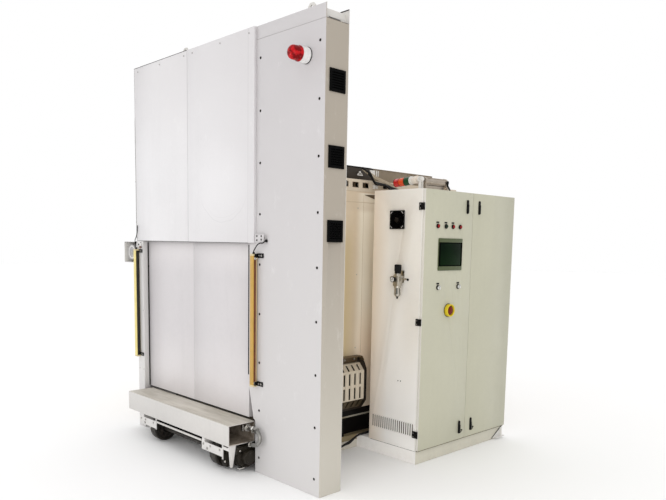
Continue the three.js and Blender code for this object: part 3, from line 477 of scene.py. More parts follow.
portal_paint = paint("portal_white", WHITE, 0.38, dust=0.1, build=portal_tones)
cover_paint = paint("cover_white", (0.80, 0.79, 0.80, 1), 0.33, dust=0, build=cover_tones)
door_paint = paint("door_white", (0.735, 0.705, 0.71, 1), 0.36, dust=0, regions=[
    lambda f: (f.math("MULTIPLY", f.span(f.z, 1.5, 1.25), f.span(f.z, 0.45, 0.95)), (0.635, 0.61, 0.62, 1)),
    lambda f: (f.math("MULTIPLY", f.inside(x=(-790.5, -787)), f.facing("-y")), (0.55, 0.53, 0.53, 1)),
])
frame_paint = paint("frame_white", (0.68, 0.66, 0.63, 1), 0.5, mottled=0.06)
def furnace_tones(f, c):
    """Painted shade makes the part beside the column browner; painted light makes the part towards the cabinet paler,
    pinker low down; darker just under the roof band.
    """
    low = f.span(f.z, 1.75, 1.45)
    # Painted shade: browner beside the column.
    left = f.math("MULTIPLY", low, f.span(f.y, (880 + OY) / 1000, (760 + OY) / 1000))
    c = f.mix(f.math("MULTIPLY", left, f.inside(x=(45, 51.2))), c, (0.62, 0.50, 0.30, 1))
    # Painted light: paler towards the cabinet, pinker low down.
    right = f.math("MULTIPLY", f.span(f.y, (850 + OY) / 1000, (945 + OY) / 1000), f.inside(x=(45, 51.2), z=(None, 1890)))
    c = f.mix(right, c, (0.98, 0.93, 0.80, 1))
    c = f.mix(f.math("MULTIPLY", right, f.span(f.z, 1.2, 0.7)), c, (1.0, 0.85, 0.67, 1))
    return f.mix(f.inside(x=(45, 51.2), z=(1760, 1897), soft=0.02), c, (0.62, 0.51, 0.38, 1))


cream_paint = paint("furnace_cream", CREAM, 0.5, mottled=0.05, regions=[
    lambda f: (f.inside(x=(51.2, None)), (0.018, 0.011, 0.005, 1)),
    lambda f: (f.inside(z=(1820, 1824), x=(45, 51)), (0.50, 0.42, 0.32, 1)),
    lambda f: (f.inside(z=(1897, 1900), x=(45, 51)), (0.52, 0.44, 0.34, 1)),
    lambda f: (f.inside(z=(1900, 1990), x=(45, 51)), (0.66, 0.57, 0.45, 1)),
], build=furnace_tones)
seam_cream = paint("furnace_seam", (0.60, 0.49, 0.34, 1), 0.5, mottled=0.05, dust=0)
def cabinet_tones(f, c):
    """Painted light and shade: a pinkish-brown reflection of the cream furnace at the rear edge, paler painted light in
    the middle and the lower part, painted shade inside the vent slots.
    """
    # Painted light: paler in the middle and the lower part.
    middle = f.math("MULTIPLY", f.span(f.x, (540 + OX) / 1000, (390 + OX) / 1000), f.span(f.z, 1.60, 1.25))
    c = f.mix(f.math("MULTIPLY", middle, 0.9), c, (1.0, 0.985, 0.96, 1))
    c = f.mix(f.span(f.z, 1.10, 0.40), c, (1.0, 0.985, 0.96, 1))
    # Painted reflection: pinkish brown at the rear edge, beside the cream furnace.
    c = f.mix(f.span(f.x, (190 + OX) / 1000, (345 + OX) / 1000, 0.85, 0.0, smooth=False), c, (0.95, 0.83, 0.70, 1))
    # Painted shade: dark walls inside the vent slots.
    return f.mix(f.inside(x=(205, 595), y=(917.4, 922), z=(190, 292)), c, (0.09, 0.065, 0.038, 1))


cabinet_paint = paint("cabinet_white", (0.90, 0.865, 0.80, 1), 0.42, dust=0, build=cabinet_tones)
base_paint = paint("base_paint", (1.0, 0.98, 0.955, 1), 0.5, mottled=0.05, dust=0.06, Specular_IOR_Level=0.2, regions=[
    # Painted shade: near black on the frame's side between the rails, where the space under the furnace lies in shade.
    lambda f: (f.inside(x=(None, 51), z=(101, 302)), (0.003, 0.0025, 0.002, 1)),
    lambda f: (f.inside(x=(None, 51), z=(60, 101)), (0.30, 0.24, 0.14, 1)),
    lambda f: (f.inside(x=(None, 51), z=(None, 60)), (0.72, 0.68, 0.60, 1)),
    # Painted shade: the faces towards +X are darker and warmer.
    lambda f: (f.math("MULTIPLY", f.inside(x=(600, None)), f.facing("+x")), (0.66, 0.635, 0.54, 1)),
])
door_green = paint("cabinet_grey_green", GREEN, 0.4, dust=0.12, regions=[
    # Painted light: the door's front edge, facing -Y, is much paler than its side.
    lambda f: (f.math("MULTIPLY", f.facing("-y"), f.inside(y=(None, 925))), (0.80, 0.775, 0.72, 1)),
])
taupe = paint("hood_taupe", (0.245, 0.195, 0.135, 1), 0.55, mottled=0.1, regions=[
    lambda f: (f.inside(y=(None, 1085), soft=0.008), (0.032, 0.022, 0.013, 1)),
])
trolley_paint = paint("trolley_white", (0.74, 0.72, 0.70, 1), 0.5, mottled=0.07, dust=0.3, regions=[
    # Painted shade: near black on everything behind the front, under the furnace.
    lambda f: (f.inside(y=(30, None)), (0.02, 0.018, 0.015, 1)),
])


def beam_marks(f, c):
    """Worn steel on top, brown inside, specks and a few chips on the front."""
    top = f.math("MULTIPLY", f.facing("+z"), f.inside(z=(331, None)))
    worn = f.mix(f.span(f.noise(3.0, 5, 0.6, stretch=(0.7, 4, 1)), 0.3, 0.72), (0.66, 0.62, 0.55, 1), (0.42, 0.385, 0.32, 1))
    worn = f.mix(f.span(f.noise(60, 4, 0.6, stretch=(0.2, 3, 1)), 0.5, 0.7, 0.0, 0.4), worn, (0.62, 0.60, 0.56, 1))
    c = f.mix(top, c, worn)
    inside = f.inside(y=(-182.6, 22.6), z=(199, 329))
    rust = f.mix(f.span(f.noise(16, 5, 0.65), 0.35, 0.7), (0.34, 0.29, 0.24, 1), (0.16, 0.125, 0.095, 1))
    c = f.mix(inside, c, rust)
    speck = f.math("MULTIPLY", f.span(f.spots(16), 0.0, 0.045, 1.0, 0.0), f.inside(y=(None, -184)))
    return f.mix(f.math("MULTIPLY", speck, 0.75), c, (0.30, 0.27, 0.24, 1))


beam_paint = paint("beam_white", (0.665, 0.645, 0.62, 1), 0.46, mottled=0.05, dust=0.0, build=beam_marks)
bare_steel = metal("bare_steel", (0.46, 0.45, 0.43, 1), 0.34)
bright_steel = metal("bright_steel", (0.72, 0.70, 0.66, 1), 0.24, stain=0.12)
chain_steel = metal("chain_steel", (0.12, 0.11, 0.10, 1), 0.42)
dark_bolt = metal("dark_bolt", (0.035, 0.032, 0.03, 1), 0.45, stain=0.3)
cast = paint("cast_weight", (0.075, 0.078, 0.08, 1), 0.7, mottled=0.2, peel=0.25, dust=0)
motor_blue = paint("motor_paint", (0.065, 0.10, 0.14, 1), 0.45, mottled=0.1, dust=0)
dark_motor = paint("dark_motor", (0.026, 0.021, 0.014, 1), 0.42, mottled=0.3, dust=0.0, peel=0.2, Specular_IOR_Level=0.25)
galvanised = metal("galvanised", (0.52, 0.51, 0.49, 1), 0.42, stain=0.35)
black_metal = paint("black_metal", (0.005, 0.005, 0.005, 1), 0.42, mottled=0.2, dust=0, Specular_IOR_Level=0.15)


def wheel_finish():
    f = Finish("wheel_iron", 0.5, 0.35)
    tread = f.span(f.noise(50, 4, 0.6), 0.35, 0.7)
    f.colour(f.mix(tread, (0.016, 0.014, 0.012, 1), (0.045, 0.036, 0.028, 1)))
    f.rough(f.span(f.noise(30, 4, 0.6), 0.3, 0.7, 0.36, 0.62))
    f.bump(f.noise(160, 3, 0.6), 0.25, 0.001)
    return f.m


def fibre_finish():
    """Board fibre: chalky, with fine strands and joints between the boards."""
    f = Finish("fibre", 0.95)
    joint_z = f.math("ABSOLUTE", f.math("SUBTRACT", f.math("FRACT", f.math("DIVIDE", f.z, 0.2)), 0.5))
    joint = f.span(joint_z, 0.4925, 0.4985, 0.0, 1.0)
    strands = f.noise(240, 4, 0.7, stretch=(1, 1, 6))
    c = f.mix(f.span(strands, 0.35, 0.7), (0.80, 0.76, 0.68, 1), (0.70, 0.65, 0.56, 1))
    c = f.mix(f.math("MULTIPLY", joint, 0.6), c, (0.30, 0.26, 0.20, 1))
    c = f.mix(f.span(f.noise(2.5, 4, 0.6), 0.5, 0.75, 0.0, 0.3), c, (0.55, 0.45, 0.33, 1))
    f.colour(c)
    h = f.math("SUBTRACT", f.noise(320, 4, 0.75), joint)
    f.bump(h, 0.35, 0.0015)
    return f.m


def brick_finish():
    f = Finish("hearth_brick", 0.93)
    mp = f.node("ShaderNodeMapping", (f.obj,))
    b = f.nt.nodes.new("ShaderNodeTexBrick")
    f.put(b.inputs["Vector"], mp.outputs[0])
    b.inputs["Scale"].default_value = 1.0
    b.inputs["Mortar Size"].default_value = 0.0016
    b.inputs["Brick Width"].default_value = 0.23
    b.inputs["Row Height"].default_value = 0.114
    b.inputs["Color1"].default_value = (0.66, 0.55, 0.40, 1)
    b.inputs["Color2"].default_value = (0.60, 0.49, 0.35, 1)
    b.inputs["Mortar"].default_value = (0.30, 0.26, 0.21, 1)
    c = f.mix(f.span(f.noise(90, 4, 0.6), 0.35, 0.75, 0.0, 0.4), b.outputs["Color"], (0.46, 0.36, 0.24, 1))
    f.colour(c)
    h = f.math("SUBTRACT", f.noise(260, 4, 0.7), b.outputs["Fac"])
    f.bump(h, 0.4, 0.002)
    return f.m


def element_finish():
    f = Finish("element_alloy", 0.6, 0.55)
    f.colour(f.mix(f.span(f.noise(40, 4, 0.6), 0.35, 0.7), (0.10, 0.085, 0.07, 1), (0.20, 0.15, 0.10, 1)))
    f.bump(f.noise(300, 3, 0.6), 0.3, 0.0008)
    return f.m


def dome_finish():
    """Clear red moulding, ribbed inside by fine rings, with painted glints of highlight."""
    f = Finish("beacon_red", 0.16, 0.0, IOR=1.49, Specular_IOR_Level=0.12)
    c = f.mix(f.span(f.noise(38, 2, 0.5, stretch=(1, 0.6, 1)), 0.42, 0.58), (0.52, 0.010, 0.014, 1), (0.20, 0.002, 0.004, 1))
    # Painted highlight: pale red glints over the moulding.
    painted_glint = f.span(f.noise(55, 2, 0.5, stretch=(0.5, 1, 1), shift=(2, 1, 5)), 0.62, 0.72)
    c = f.mix(f.math("MULTIPLY", painted_glint, 0.6), c, (0.85, 0.16, 0.15, 1))
    f.colour(c)
    rings = f.math("SINE", f.math("MULTIPLY", f.y, 2 * math.pi / 0.006))
    f.bump(rings, 0.06, 0.0006)
    return f.m


def curtain_finish(name, x_face, y0, y1, front, strip_a, strip_b, back):
    """Yellow bar with a dark strip on its side and a pale edge behind it; on the left bar the strip is its window, on
    the right bar the strip and edge are painted shade.
    """
    f = Finish(name, 0.38, 0.0)
    drift = f.span(f.noise(12, 4, 0.6), 0.3, 0.7)
    c = f.mix(drift, front, tuple(0.86 * v for v in front[:3]) + (1,))
    strip = f.math("MULTIPLY", f.facing("+x"), f.inside(y=(y0, y1), x=(x_face - 1, x_face + 1)))
    c = f.mix(strip, c, f.mix(f.span(f.noise(30, 3, 0.6), 0.35, 0.7), strip_a, strip_b))
    pale = f.math("MULTIPLY", f.facing("+x"), f.inside(y=(y1, None), x=(x_face - 1, x_face + 1)))
    c = f.mix(pale, c, back)
    f.colour(c)
    f.rough(f.span(f.noise(60, 3, 0.5), 0.3, 0.7, 0.3, 0.46))
    f.bump(f.noise(700, 2, 0.5), 0.06, 0.0004)
    return f.m


def lens_finish():
    """Stacked lenses by where they sit: red, orange, green, then the white base."""
    f = Finish("signal_lens", 0.2, 0.0, IOR=1.49, Specular_IOR_Level=0.35)
    c = (0.58, 0.022, 0.018, 1)
    c = f.mix(f.inside(x=(327, None)), c, (0.74, 0.085, 0.020, 1))
    c = f.mix(f.inside(x=(374, None)), c, (0.008, 0.065, 0.018, 1))
    c = f.mix(f.inside(x=(420, None)), c, (0.80, 0.74, 0.65, 1))
    c = f.mix(f.math("MULTIPLY", f.inside(x=(325.5, 328.5)), 0.5), c, (0.40, 0.03, 0.02, 1))
    c = f.mix(f.math("MULTIPLY", f.inside(x=(372.5, 375.5)), 0.9), c, (0.02, 0.02, 0.015, 1))
    c = f.mix(f.span(f.noise(60, 3, 0.5), 0.4, 0.75, 0.0, 0.25), c, (0.9, 0.5, 0.4, 1), "MULTIPLY")
    f.colour(c)
    ribs = f.math("SINE", f.math("MULTIPLY", f.x, 2 * math.pi / 0.004))
    f.bump(f.math("MULTIPLY", ribs, f.inside(x=(283, 420))), 0.12, 0.0008)
    return f.m


def screen_finish():
    f = Finish("screen_glass", 0.2, 0.0, Specular_IOR_Level=0.03)
    up = f.span(f.z, 1.386, 1.539)
    c = f.mix(up, (0.003, 0.013, 0.003, 1), (0.002, 0.006, 0.003, 1))
    c = f.mix(f.span(f.noise(3, 2, 0.5), 0.4, 0.8, 0.0, 0.35), c, (0.006, 0.024, 0.006, 1))
    f.colour(c)
    f.bump(f.noise(5, 2, 0.4), 0.02, 0.002)
    return f.m


wheel_iron = wheel_finish()
fibre = fibre_finish()
brick = brick_finish()
alloy = element_finish()
dome_red = dome_finish()
# Painted shade: the right bar's front is a darker orange than the left bar's yellow, and its side facing +X is brown.
curtain_right = curtain_finish("curtain_yellow_right", 22, -33, -16, (0.56, 0.335, 0.062, 1), (0.17, 0.042, 0.006, 1), (0.11, 0.028, 0.004, 1), (0.54, 0.41, 0.23, 1))
curtain_left = curtain_finish("curtain_yellow_left", -1513, -49, -22, (0.86, 0.72, 0.27, 1), (0.006, 0.005, 0.004, 1), (0.010, 0.007, 0.004, 1), (0.20, 0.14, 0.06, 1))
lens = lens_finish()
screen = screen_finish()
black_plastic = plastic("black_plastic", (0.005, 0.005, 0.005, 1), 0.45, dust=0.04, Specular_IOR_Level=0.14)
vent_black = plastic("vent_black", (0.003, 0.003, 0.003, 1), 0.6, dust=0.0, Specular_IOR_Level=0.03)
# Black mat for the vents and the screen's edge; also the plate of painted shade on the trolley.
mat_black = plastic("black_mat_and_shade_plate", (0.002, 0.002, 0.002, 1), 0.9, grain=0.6, dust=0.0, Specular_IOR_Level=0.0)
cable_black = plastic("cable_black", (0.006, 0.0055, 0.005, 1), 0.5, grain=0.15, dust=0.05, Specular_IOR_Level=0.2)
white_plastic = plastic("white_plastic", (0.78, 0.765, 0.735, 1), 0.36)
beacon_white = plastic("beacon_white", (0.78, 0.77, 0.76, 1), 0.32)
sounder_grey = plastic("sounder_grey", (0.44, 0.435, 0.44, 1), 0.45, dust=0.05)
bezel = plastic("panel_bezel", (0.085, 0.105, 0.048, 1), 0.34, dust=0.1, Specular_IOR_Level=0.25)
red_cap = plastic("button_red", (0.27, 0.008, 0.009, 1), 0.28, dust=0, Specular_IOR_Level=0.2)
green_cap = plastic("button_green", (0.004, 0.022, 0.008, 1), 0.3, dust=0, Specular_IOR_Level=0.2)
estop_yellow = plastic("estop_yellow", (0.72, 0.55, 0.02, 1), 0.36, dust=0, Specular_IOR_Level=0.3)
estop_red = plastic("estop_red", (0.15, 0.008, 0.003, 1), 0.36, dust=0, Specular_IOR_Level=0.2)
label_white = plastic("label_white", (0.74, 0.73, 0.70, 1), 0.55)
rubber = plastic("seal_rubber", (0.012, 0.011, 0.010, 1), 0.65, dust=0.05, Specular_IOR_Level=0.15)
copper = plastic("brown_knob", (0.14, 0.06, 0.035, 1), 0.4)
grey_cable = plastic("grey_cable", (0.46, 0.45, 0.43, 1), 0.45)
beige_cable = plastic("beige_cable", (0.52, 0.44, 0.32, 1), 0.55, grain=0.2)
guard_beige = paint("guard_beige", (0.64, 0.565, 0.45, 1), 0.5, mottled=0.08, dust=0.0, regions=[
    lambda f: (f.inside(x=(None, 149)), (0.50, 0.43, 0.33, 1)),
    # Painted shade: the lower chamfer, below z 397, is near black.
    lambda f: (f.inside(z=(None, 397)), (0.062, 0.043, 0.018, 1)),
])
# Dark brown paint; also the painted shadow under the furnace band's ledge.
dark_brown_and_shadow = paint("dark_brown_and_shadow", (0.11, 0.072, 0.034, 1), 0.55, mottled=0.08, dust=0)
cylinder_alloy = metal("cylinder_alloy", (0.46, 0.40, 0.335, 1), 0.36, brushed=(1, 0.05, 1), stain=0.25)
frl_metal = metal("frl_metal", (0.52, 0.49, 0.43, 1), 0.34, stain=0.25)
chrome = metal("chrome_knob", (0.74, 0.74, 0.73, 1), 0.16, stain=0.06)
conduit_steel = metal("conduit_grey", (0.34, 0.33, 0.31, 1), 0.32, stain=0.2)
bowl_smoke = plastic("bowl_smoke", (0.10, 0.10, 0.085, 1), 0.2, Coat_Weight=0.5)


# ------------------------------------------------------- CAD nodes' finishes
def smooth_by_angle(limit):
    g = bpy.data.node_groups.new("smooth_by_angle", "GeometryNodeTree")
    g.interface.new_socket("Geometry", in_out="INPUT", socket_type="NodeSocketGeometry")
    g.interface.new_socket("Geometry", in_out="OUTPUT", socket_type="NodeSocketGeometry")
    a, z = g.nodes.new("NodeGroupInput"), g.nodes.new("NodeGroupOutput")
    face, edge = g.nodes.new("GeometryNodeSetShadeSmooth"), g.nodes.new("GeometryNodeSetShadeSmooth")
    face.domain, edge.domain = "FACE", "EDGE"
    turn = g.nodes.new("GeometryNodeInputMeshEdgeAngle")
    test = g.nodes.new("FunctionNodeCompare")
    test.data_type, test.operation = "FLOAT", "LESS_EQUAL"
    test.inputs[1].default_value = limit
    g.links.new(turn.outputs["Unsigned Angle"], test.inputs[0])
    g.links.new(a.outputs[0], face.inputs["Geometry"])
    g.links.new(face.outputs[0], edge.inputs["Geometry"])
    g.links.new(test.outputs[0], edge.inputs["Shade Smooth"])
    g.links.new(edge.outputs[0], z.inputs[0])
    return g


SMOOTH = smooth_by_angle(math.radians(32))


def dress(node, material, bevel=0.0, seg=2):
    """The finish of a CAD node, its shape left alone but for eased edges."""
    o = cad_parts[node]
    o.data.materials.clear()
    o.data.materials.append(material)
    w = o.modifiers.new("weld", "WELD")
    w.merge_threshold = 0.00002
    if bevel:
        b = o.modifiers.new("ease", "BEVEL")
        b.width = bevel
        b.segments = seg
        b.limit_method = "ANGLE"
        b.angle_limit = math.radians(50)
        b.harden_normals = False
    s = o.modifiers.new("smooth", "NODES")
    s.node_group = SMOOTH


for node, mat, bev in (
    ("gantry_frame", frame_paint, 0), ("column_casing", portal_paint, 0.0012), ("left_post", portal_paint, 0.001),
    ("upper_cover_left", cover_paint, 0.0012), ("upper_cover_right", cover_paint, 0.0012),
    ("side_vent_lower", vent_black, 0.0008), ("side_vent_middle", vent_black, 0.0008), ("side_vent_upper", vent_black, 0.0008),
    ("hoist_shaft", bare_steel, 0), ("chain_left", chain_steel, 0), ("chain_right", chain_steel, 0),
    ("counterweight", cast, 0.003), ("hoist_gearmotor", motor_blue, 0.002),
    ("door_skin", door_paint, 0.001), ("door_frame", bare_steel, 0.001), ("door_insulation", fibre, 0.002),
    ("trolley_frame", trolley_paint, 0.0008), ("bumper_beam", beam_paint, 0.0015), ("hearth_slab", brick, 0.003),
    ("wheelset_front", wheel_iron, 0.0015), ("wheelset_rear", wheel_iron, 0.0015),
    ("trolley_gearmotor", dark_motor, 0.003), ("conduit_bend", conduit_steel, 0),
    ("beacon_base", beacon_white, 0.002), ("beacon_dome", dome_red, 0),
    ("light_curtain_right", curtain_right, 0), ("light_curtain_left", curtain_left, 0), ("curtain_cable", cable_black, 0),
    ("sounder_bracket", portal_paint, 0.001), ("sounder", sounder_grey, 0.003),
    ("furnace_shell", cream_paint, 0.001), ("furnace_lining", fibre, 0), ("heating_element", alloy, 0.001),
    ("roof_hood", taupe, 0.001), ("base_frame", base_paint, 0.0015), ("terminal_guard", guard_beige, 0.0006),
    ("cabinet_shell", cabinet_paint, 0.001), ("cabinet_door_left", door_green, 0.0015), ("cabinet_door_right", door_green, 0.0015),
    ("mounting_plate", galvanised, 0.001), ("cabinet_fan", vent_black, 0.0008), ("cabinet_fan_rotor", vent_black, 0),
    ("frl_body", frl_metal, 0.001), ("frl_knob", black_plastic, 0.001), ("hmi_panel", bezel, 0.001),
    ("pushbutton_1", red_cap, 0.0006), ("pushbutton_2", green_cap, 0.0006), ("pushbutton_3", red_cap, 0.0006), ("pushbutton_4", red_cap, 0.0006),
    ("selector_left", chrome, 0.0006), ("selector_right", chrome, 0.0006),
    ("estop_collar", estop_yellow, 0.0015), ("estop_button", estop_red, 0.001),
    ("handle_upper_left", black_plastic, 0.0015), ("handle_upper_right", black_plastic, 0.0015),
    ("handle_lower_left", black_plastic, 0.0015), ("handle_lower_right", black_plastic, 0.0015),
    ("stack_light_foot", white_plastic, 0.001), ("stack_light", lens, 0.0008), ("air_cylinder", cylinder_alloy, 0.0015),
):
    dress(node, mat, bev)

# ------------------------------------------------------------------- pieces
# Right column: screws down both edges of its front panel, and trim.
s = Shape()
for x in (40, 585):
    for k in range(9):
        s.ring((x, -0.05, 105 + 319 * k), (0, -1, 0), 2.0, 8.5, 0, 1.0, 18, 0.3)
        s.screw((x, -0.4, 105 + 319 * k), (0, -1, 0), 6.2, 3.4)
piece("column_screws", s, dark_bolt)

s = Shape()
for x in (-1494, -1161, -822, -712, -374, -57):
    s.screw((x, -18.05, 2819), (0, -1, 0), 5.5, 3.0)
for x in (-1535, -1468):
    for z in (60, 480, 960, 1440):
        s.screw((x, -18.05, z), (0, -1, 0), 4.0, 2.0)
piece("cover_screws", s, bare_steel)

s = Shape()
for z in (420, 1150, 1760, 2260, 2740):
    for y in (14, 168):
        s.screw((633.05, y, z), (1, 0, 0), 3.6, 1.8)
piece("side_panel_screws", s, portal_paint)

s = Shape()
s.prism("x", [(176.0, 2846), (176.8, 2846), (176.8, 2850.9), (180.4, 2850.9), (180.4, 2846), (181.2, 2846), (181.2, 2852.4), (176.0, 2852.4)], -1552, 632, 0.3, 1)
s.box(631.5, 633.6, 2, 176, 2769.2, 2771.0, 0.5)
s.box(-1553, -784, -19.2, -14, 2849.5, 2852.6, 0.8)
s.box(-1553.6, -1551.5, -18.4, -15.0, 1540, 2850, 0.5)
s.box(-783, -70, -18.6, -14, 1516.2, 1519.0, 0.6)
s.box(-1530, -781, -18.6, -14, 1516.2, 1519.0, 0.6)
piece("edge_trim", s, rubber)
s = Shape()
for z0 in (1531, 1954, 2379):
    for i in range(7):
        zs = z0 + 18 + i * 14
        s.box(633.6, 636.5, 45.6, 135.4, zs + 0.4, zs + 6.6, 0.4)
piece("side_vent_mats", s, mat_black)
s = Shape()
for y0, y1 in ((20.5, 28.6),):
    s.box(-1452.6, -1450.6, y0, y1, 348, 1505, 0.5)
    s.box(-109.6, -107.8, y0, y1, 640, 1505, 0.5)
piece("doorway_seals", s, rubber)
s = Shape()
s.box(206, 596, 922.5, 926, 190, 292, 1.0)
piece("vent_slot_mat", s, plastic("vent_felt", (0.045, 0.032, 0.018, 1), 0.95, grain=0.5, dust=0.0, Specular_IOR_Level=0.05))
# Painted shadow: a dark olive strip under the cabinet doors.
s = Shape()
s.box(619.5, 633.5, 921, 2003, 94.2, 98.6, 0.8)
piece("door_shadow_strip", s, plastic("olive_shadow_strip", (0.085, 0.066, 0.020, 1), 0.6, dust=0.05, Specular_IOR_Level=0.2))

# Right light curtain: end caps, ring nut, brackets and their bolts.
s = Shape()
for z in (585, 1438):
    s.prism("z", rounded(-15.2, 23.2, -40.2, -4.4, 4, 4), z - 1.5, z + 10.5, 1.0)
piece("curtain_caps_right", s, plastic("curtain_cap", (0.66, 0.56, 0.33, 1), 0.4))
s = Shape()
s.ring((22, -24, 1421), (1, 0, 0), 5.2, 10.5, 0.2, 4.6, 24)
s.ring((22, -24, 607), (1, 0, 0), 5.2, 10.5, 0.2, 4.6, 24)
s.rod((22.2, -24, 1421), (24.6, -24, 1421), 5.0, 16, 0.5)
piece("curtain_ring_nuts", s, bright_steel)
s = Shape()
for z in (1438, 604):
    s.box(23.6, 82, -6.5, -0.6, z - 15, z + 15, 1.2)
    s.box(23.6, 30, -30, -5, z - 12, z + 12, 1.5)
    for x in (44, 68):
        s.ring((x, -6.4, z), (0, -1, 0), 2.5, 8.2, 0, 1.4, 20, 0.4)
piece("curtain_brackets", s, black_metal)
s = Shape()
for z in (1438, 604):
    for x in (44, 68):
        s.bolt((x, -7.6, z), (0, -1, 0), 5.0, 4.0)
piece("curtain_bracket_bolts", s, bare_steel)
s = Shape()
s.lathe([(3.8, 0), (10, 0), (10, 3), (8.2, 4), (8.2, 9), (6.5, 11), (3.8, 11)], (112, -0.3, 1532), (0, -1, 0), 20)
s.lathe([(0, 0), (7, 0), (8, 2), (8, 8), (6, 12), (4.0, 13.5), (0, 13.5)], (4, -22, 1447.6), (0, 0, 1), 16)
piece("curtain_cable_glands", s, black_plastic)

# White corner plate over the doorway's upper right corner.
s = Shape()
s.prism("y", [(20, 1522), (96, 1522), (108, 1534), (108, 1573), (20, 1573)], -23, -20, 0.5)
s.box(20, 23, -21, -0.6, 1526, 1570, 0.6)
piece("corner_plate", s, portal_paint)
s = Shape()
for x, z in ((39, 1562), (84, 1562), (39, 1536), (84, 1540)):
    s.lathe([(0, 0), (6.5, 0), (6.5, 1.0), (5.4, 1.6), (3.5, 1.2), (0, 0.6)], (x, -22.95, z), (0, -1, 0), 16)
piece("corner_plate_screws", s, dark_bolt)

# Left light curtain, its cable, the tab and the small knob by it.
s = Shape()
for z in (583, 1440):
    s.prism("z", rounded(-1550.2, -1511.8, -54.2, -19.2, 4, 4), z - 1.5, z + 10.5, 1.0)
piece("curtain_caps_left", s, bpy.data.materials["curtain_cap"])
s = Shape()
s.box(-1511.6, -1463, -24.6, -18.6, 1424, 1450, 1.2)
s.box(-1511.6, -1463, -24.6, -18.6, 589, 615, 1.2)
piece("curtain_brackets_left", s, black_metal)
s = Shape()
for z in (1437, 602):
    for x in (-1494, -1475):
        s.bolt((x, -24.4, z), (0, -1, 0), 4.6, 3.6)
piece("curtain_bracket_bolts_left", s, bare_steel)
s = Shape()
s.tube([(-1537, -20.5, 1640), (-1537, -22, 1611), (-1539, -24, 1579), (-1552, -26, 1545), (-1560, -30, 1526), (-1555, -34, 1505), (-1545, -36, 1482), (-1535, -37, 1460), (-1531, -37, 1450)], 3.0, 10, 6)
s.lathe([(0, 0), (6, 0), (8, 3), (8, 12), (5, 17), (0, 17)], (-1531, -37, 1449), (0, 0, 1), 16)
s.lathe([(0, 0), (7, 1.5), (8, 5), (6, 9), (0, 10)], (-1556, -29, 1502), (0.3, 0, 1), 16)
piece("curtain_cable_left", s, cable_black)
s = Shape()
s.box(-1557, -1474, -22.5, -18.6, 1453, 1515, 1.2)
piece("cover_tab", s, portal_paint)
s = Shape()
s.screw((-1516, -22.4, 1488), (0, -1, 0), 7, 4)
s.screw((-1484, -22.4, 1504), (0, -1, 0), 4.5, 3)
piece("cover_tab_screws", s, dark_bolt)
s = Shape()
s.lathe([(0, 0), (4, 0), (4, 5), (9, 7), (11, 11), (10, 16), (5, 18.5), (0, 19)], (-1466, -24.5, 1467), (0, -1, 0), 20)
piece("curtain_knob", s, copper)

# Sounder: horn ring, centre plug and mounting nuts; its thin cable up the cover's edge.
s = Shape()
for r0, r1 in ((54, 60.5), (38, 43), (22, 27)):
    s.ring((-1662, 12, 1425), (0, -1, 0), r0, r1, 17 if r0 > 50 else 18.0, 20.5 if r0 > 50 else 20.0, 32, 0.8)
s.lathe([(0, 17.5), (14, 17.5), (14, 21), (10, 24), (0, 25)], (-1662, 12, 1425), (0, -1, 0), 24)
piece("sounder_grille", s, sounder_grey)
# Painted light: a pale plate on the inner face of the bracket's left wall, which faces +X.
s = Shape()
s.box(-1765.9, -1764.4, -16.5, 76, 1347, 1503, 0.5)
s.ring((-1662, 12, 1425), (0, -1, 0), 44, 52.5, 17.9, 19.2, 40, 0.4)
piece("sounder_bracket_painted_light", s, white_plastic)
# Painted shadow: dark bands above, below and left of the sounder.
s = Shape()
s.box(-1752, -1566, 75.4, 77.9, 1484.5, 1505, 0.6)
s.box(-1752, -1566, 75.4, 77.9, 1345, 1364, 0.6)
s.box(-1762, -1752.5, 75.4, 77.9, 1345, 1505, 0.6)
piece("sounder_shadow_bands", s, rubber)
s = Shape()
for x in (-1740, -1584):
    s.bolt((x, 30, 1344), (0, 0, 1), 6, 5)
for z in (1370, 1480):
    s.bolt((-1557.6, 32, z), (-1, 0, 0), 5.5, 4.5)
piece("sounder_bolts", s, bare_steel)
s = Shape()
s.tube([(-1600, 40, 1425), (-1575, 20, 1440), (-1562, 0, 1470), (-1558.5, -14, 1530), (-1557.5, -16, 1640), (-1557.5, -16, 1900), (-1557.5, -16, 2200), (-1557.5, -16, 2440), (-1557.5, -10, 2520)], 2.6, 8, 5)
for z in (1660, 1980, 2300):
    s.ring((-1557.5, -16, z), (0, 0, 1), 2.6, 4.6, 0, 8, 12, 0.4)
piece("sounder_cable", s, grey_cable)

# Beacon: gasket, base ring with screws, dome with a lip in place of the plain one.
s = Shape()
s.ring((472, 0, 2592), (0, -1, 0), 30, 47.5, 0.4, 5.0, 40, 0.8)
piece("beacon_gasket", s, rubber)
s = Shape()
s.lathe([(25, 5.0), (44.5, 5.0), (45.8, 6.5), (45.8, 17), (43.5, 20), (43.5, 37), (42, 40), (40.5, 41), (40.5, 54), (38.5, 57.6), (32, 57.6), (25, 57.6)], (472, 0, 2592), (0, -1, 0), 48)
for k in range(3):
    a = 2 * math.pi * k / 3 + 0.6
    s.screw((472 + 43 * math.cos(a), -28, 2592 + 43 * math.sin(a)), (math.cos(a), 0, math.sin(a)), 3.4, 2.4)
piece("beacon_housing", s, beacon_white, replaces=["beacon_base"])
s = Shape()
prof = [(42.5, 58.4), (43.8, 60), (43.8, 68), (41.8, 71)]
prof += [(41.4 - 1.6 * (k / 6) ** 2, 71 + 34 * k / 6) for k in range(1, 7)]
prof += [(39.8 * math.cos(a), 105 + 28.6 * math.sin(a)) for a in (math.radians(d) for d in range(12, 90, 12))]
prof += [(0, 134)]
inner = [(0, 130), (18, 126.5), (30, 117), (35.5, 104), (37, 90), (38, 70), (38, 58.4)]
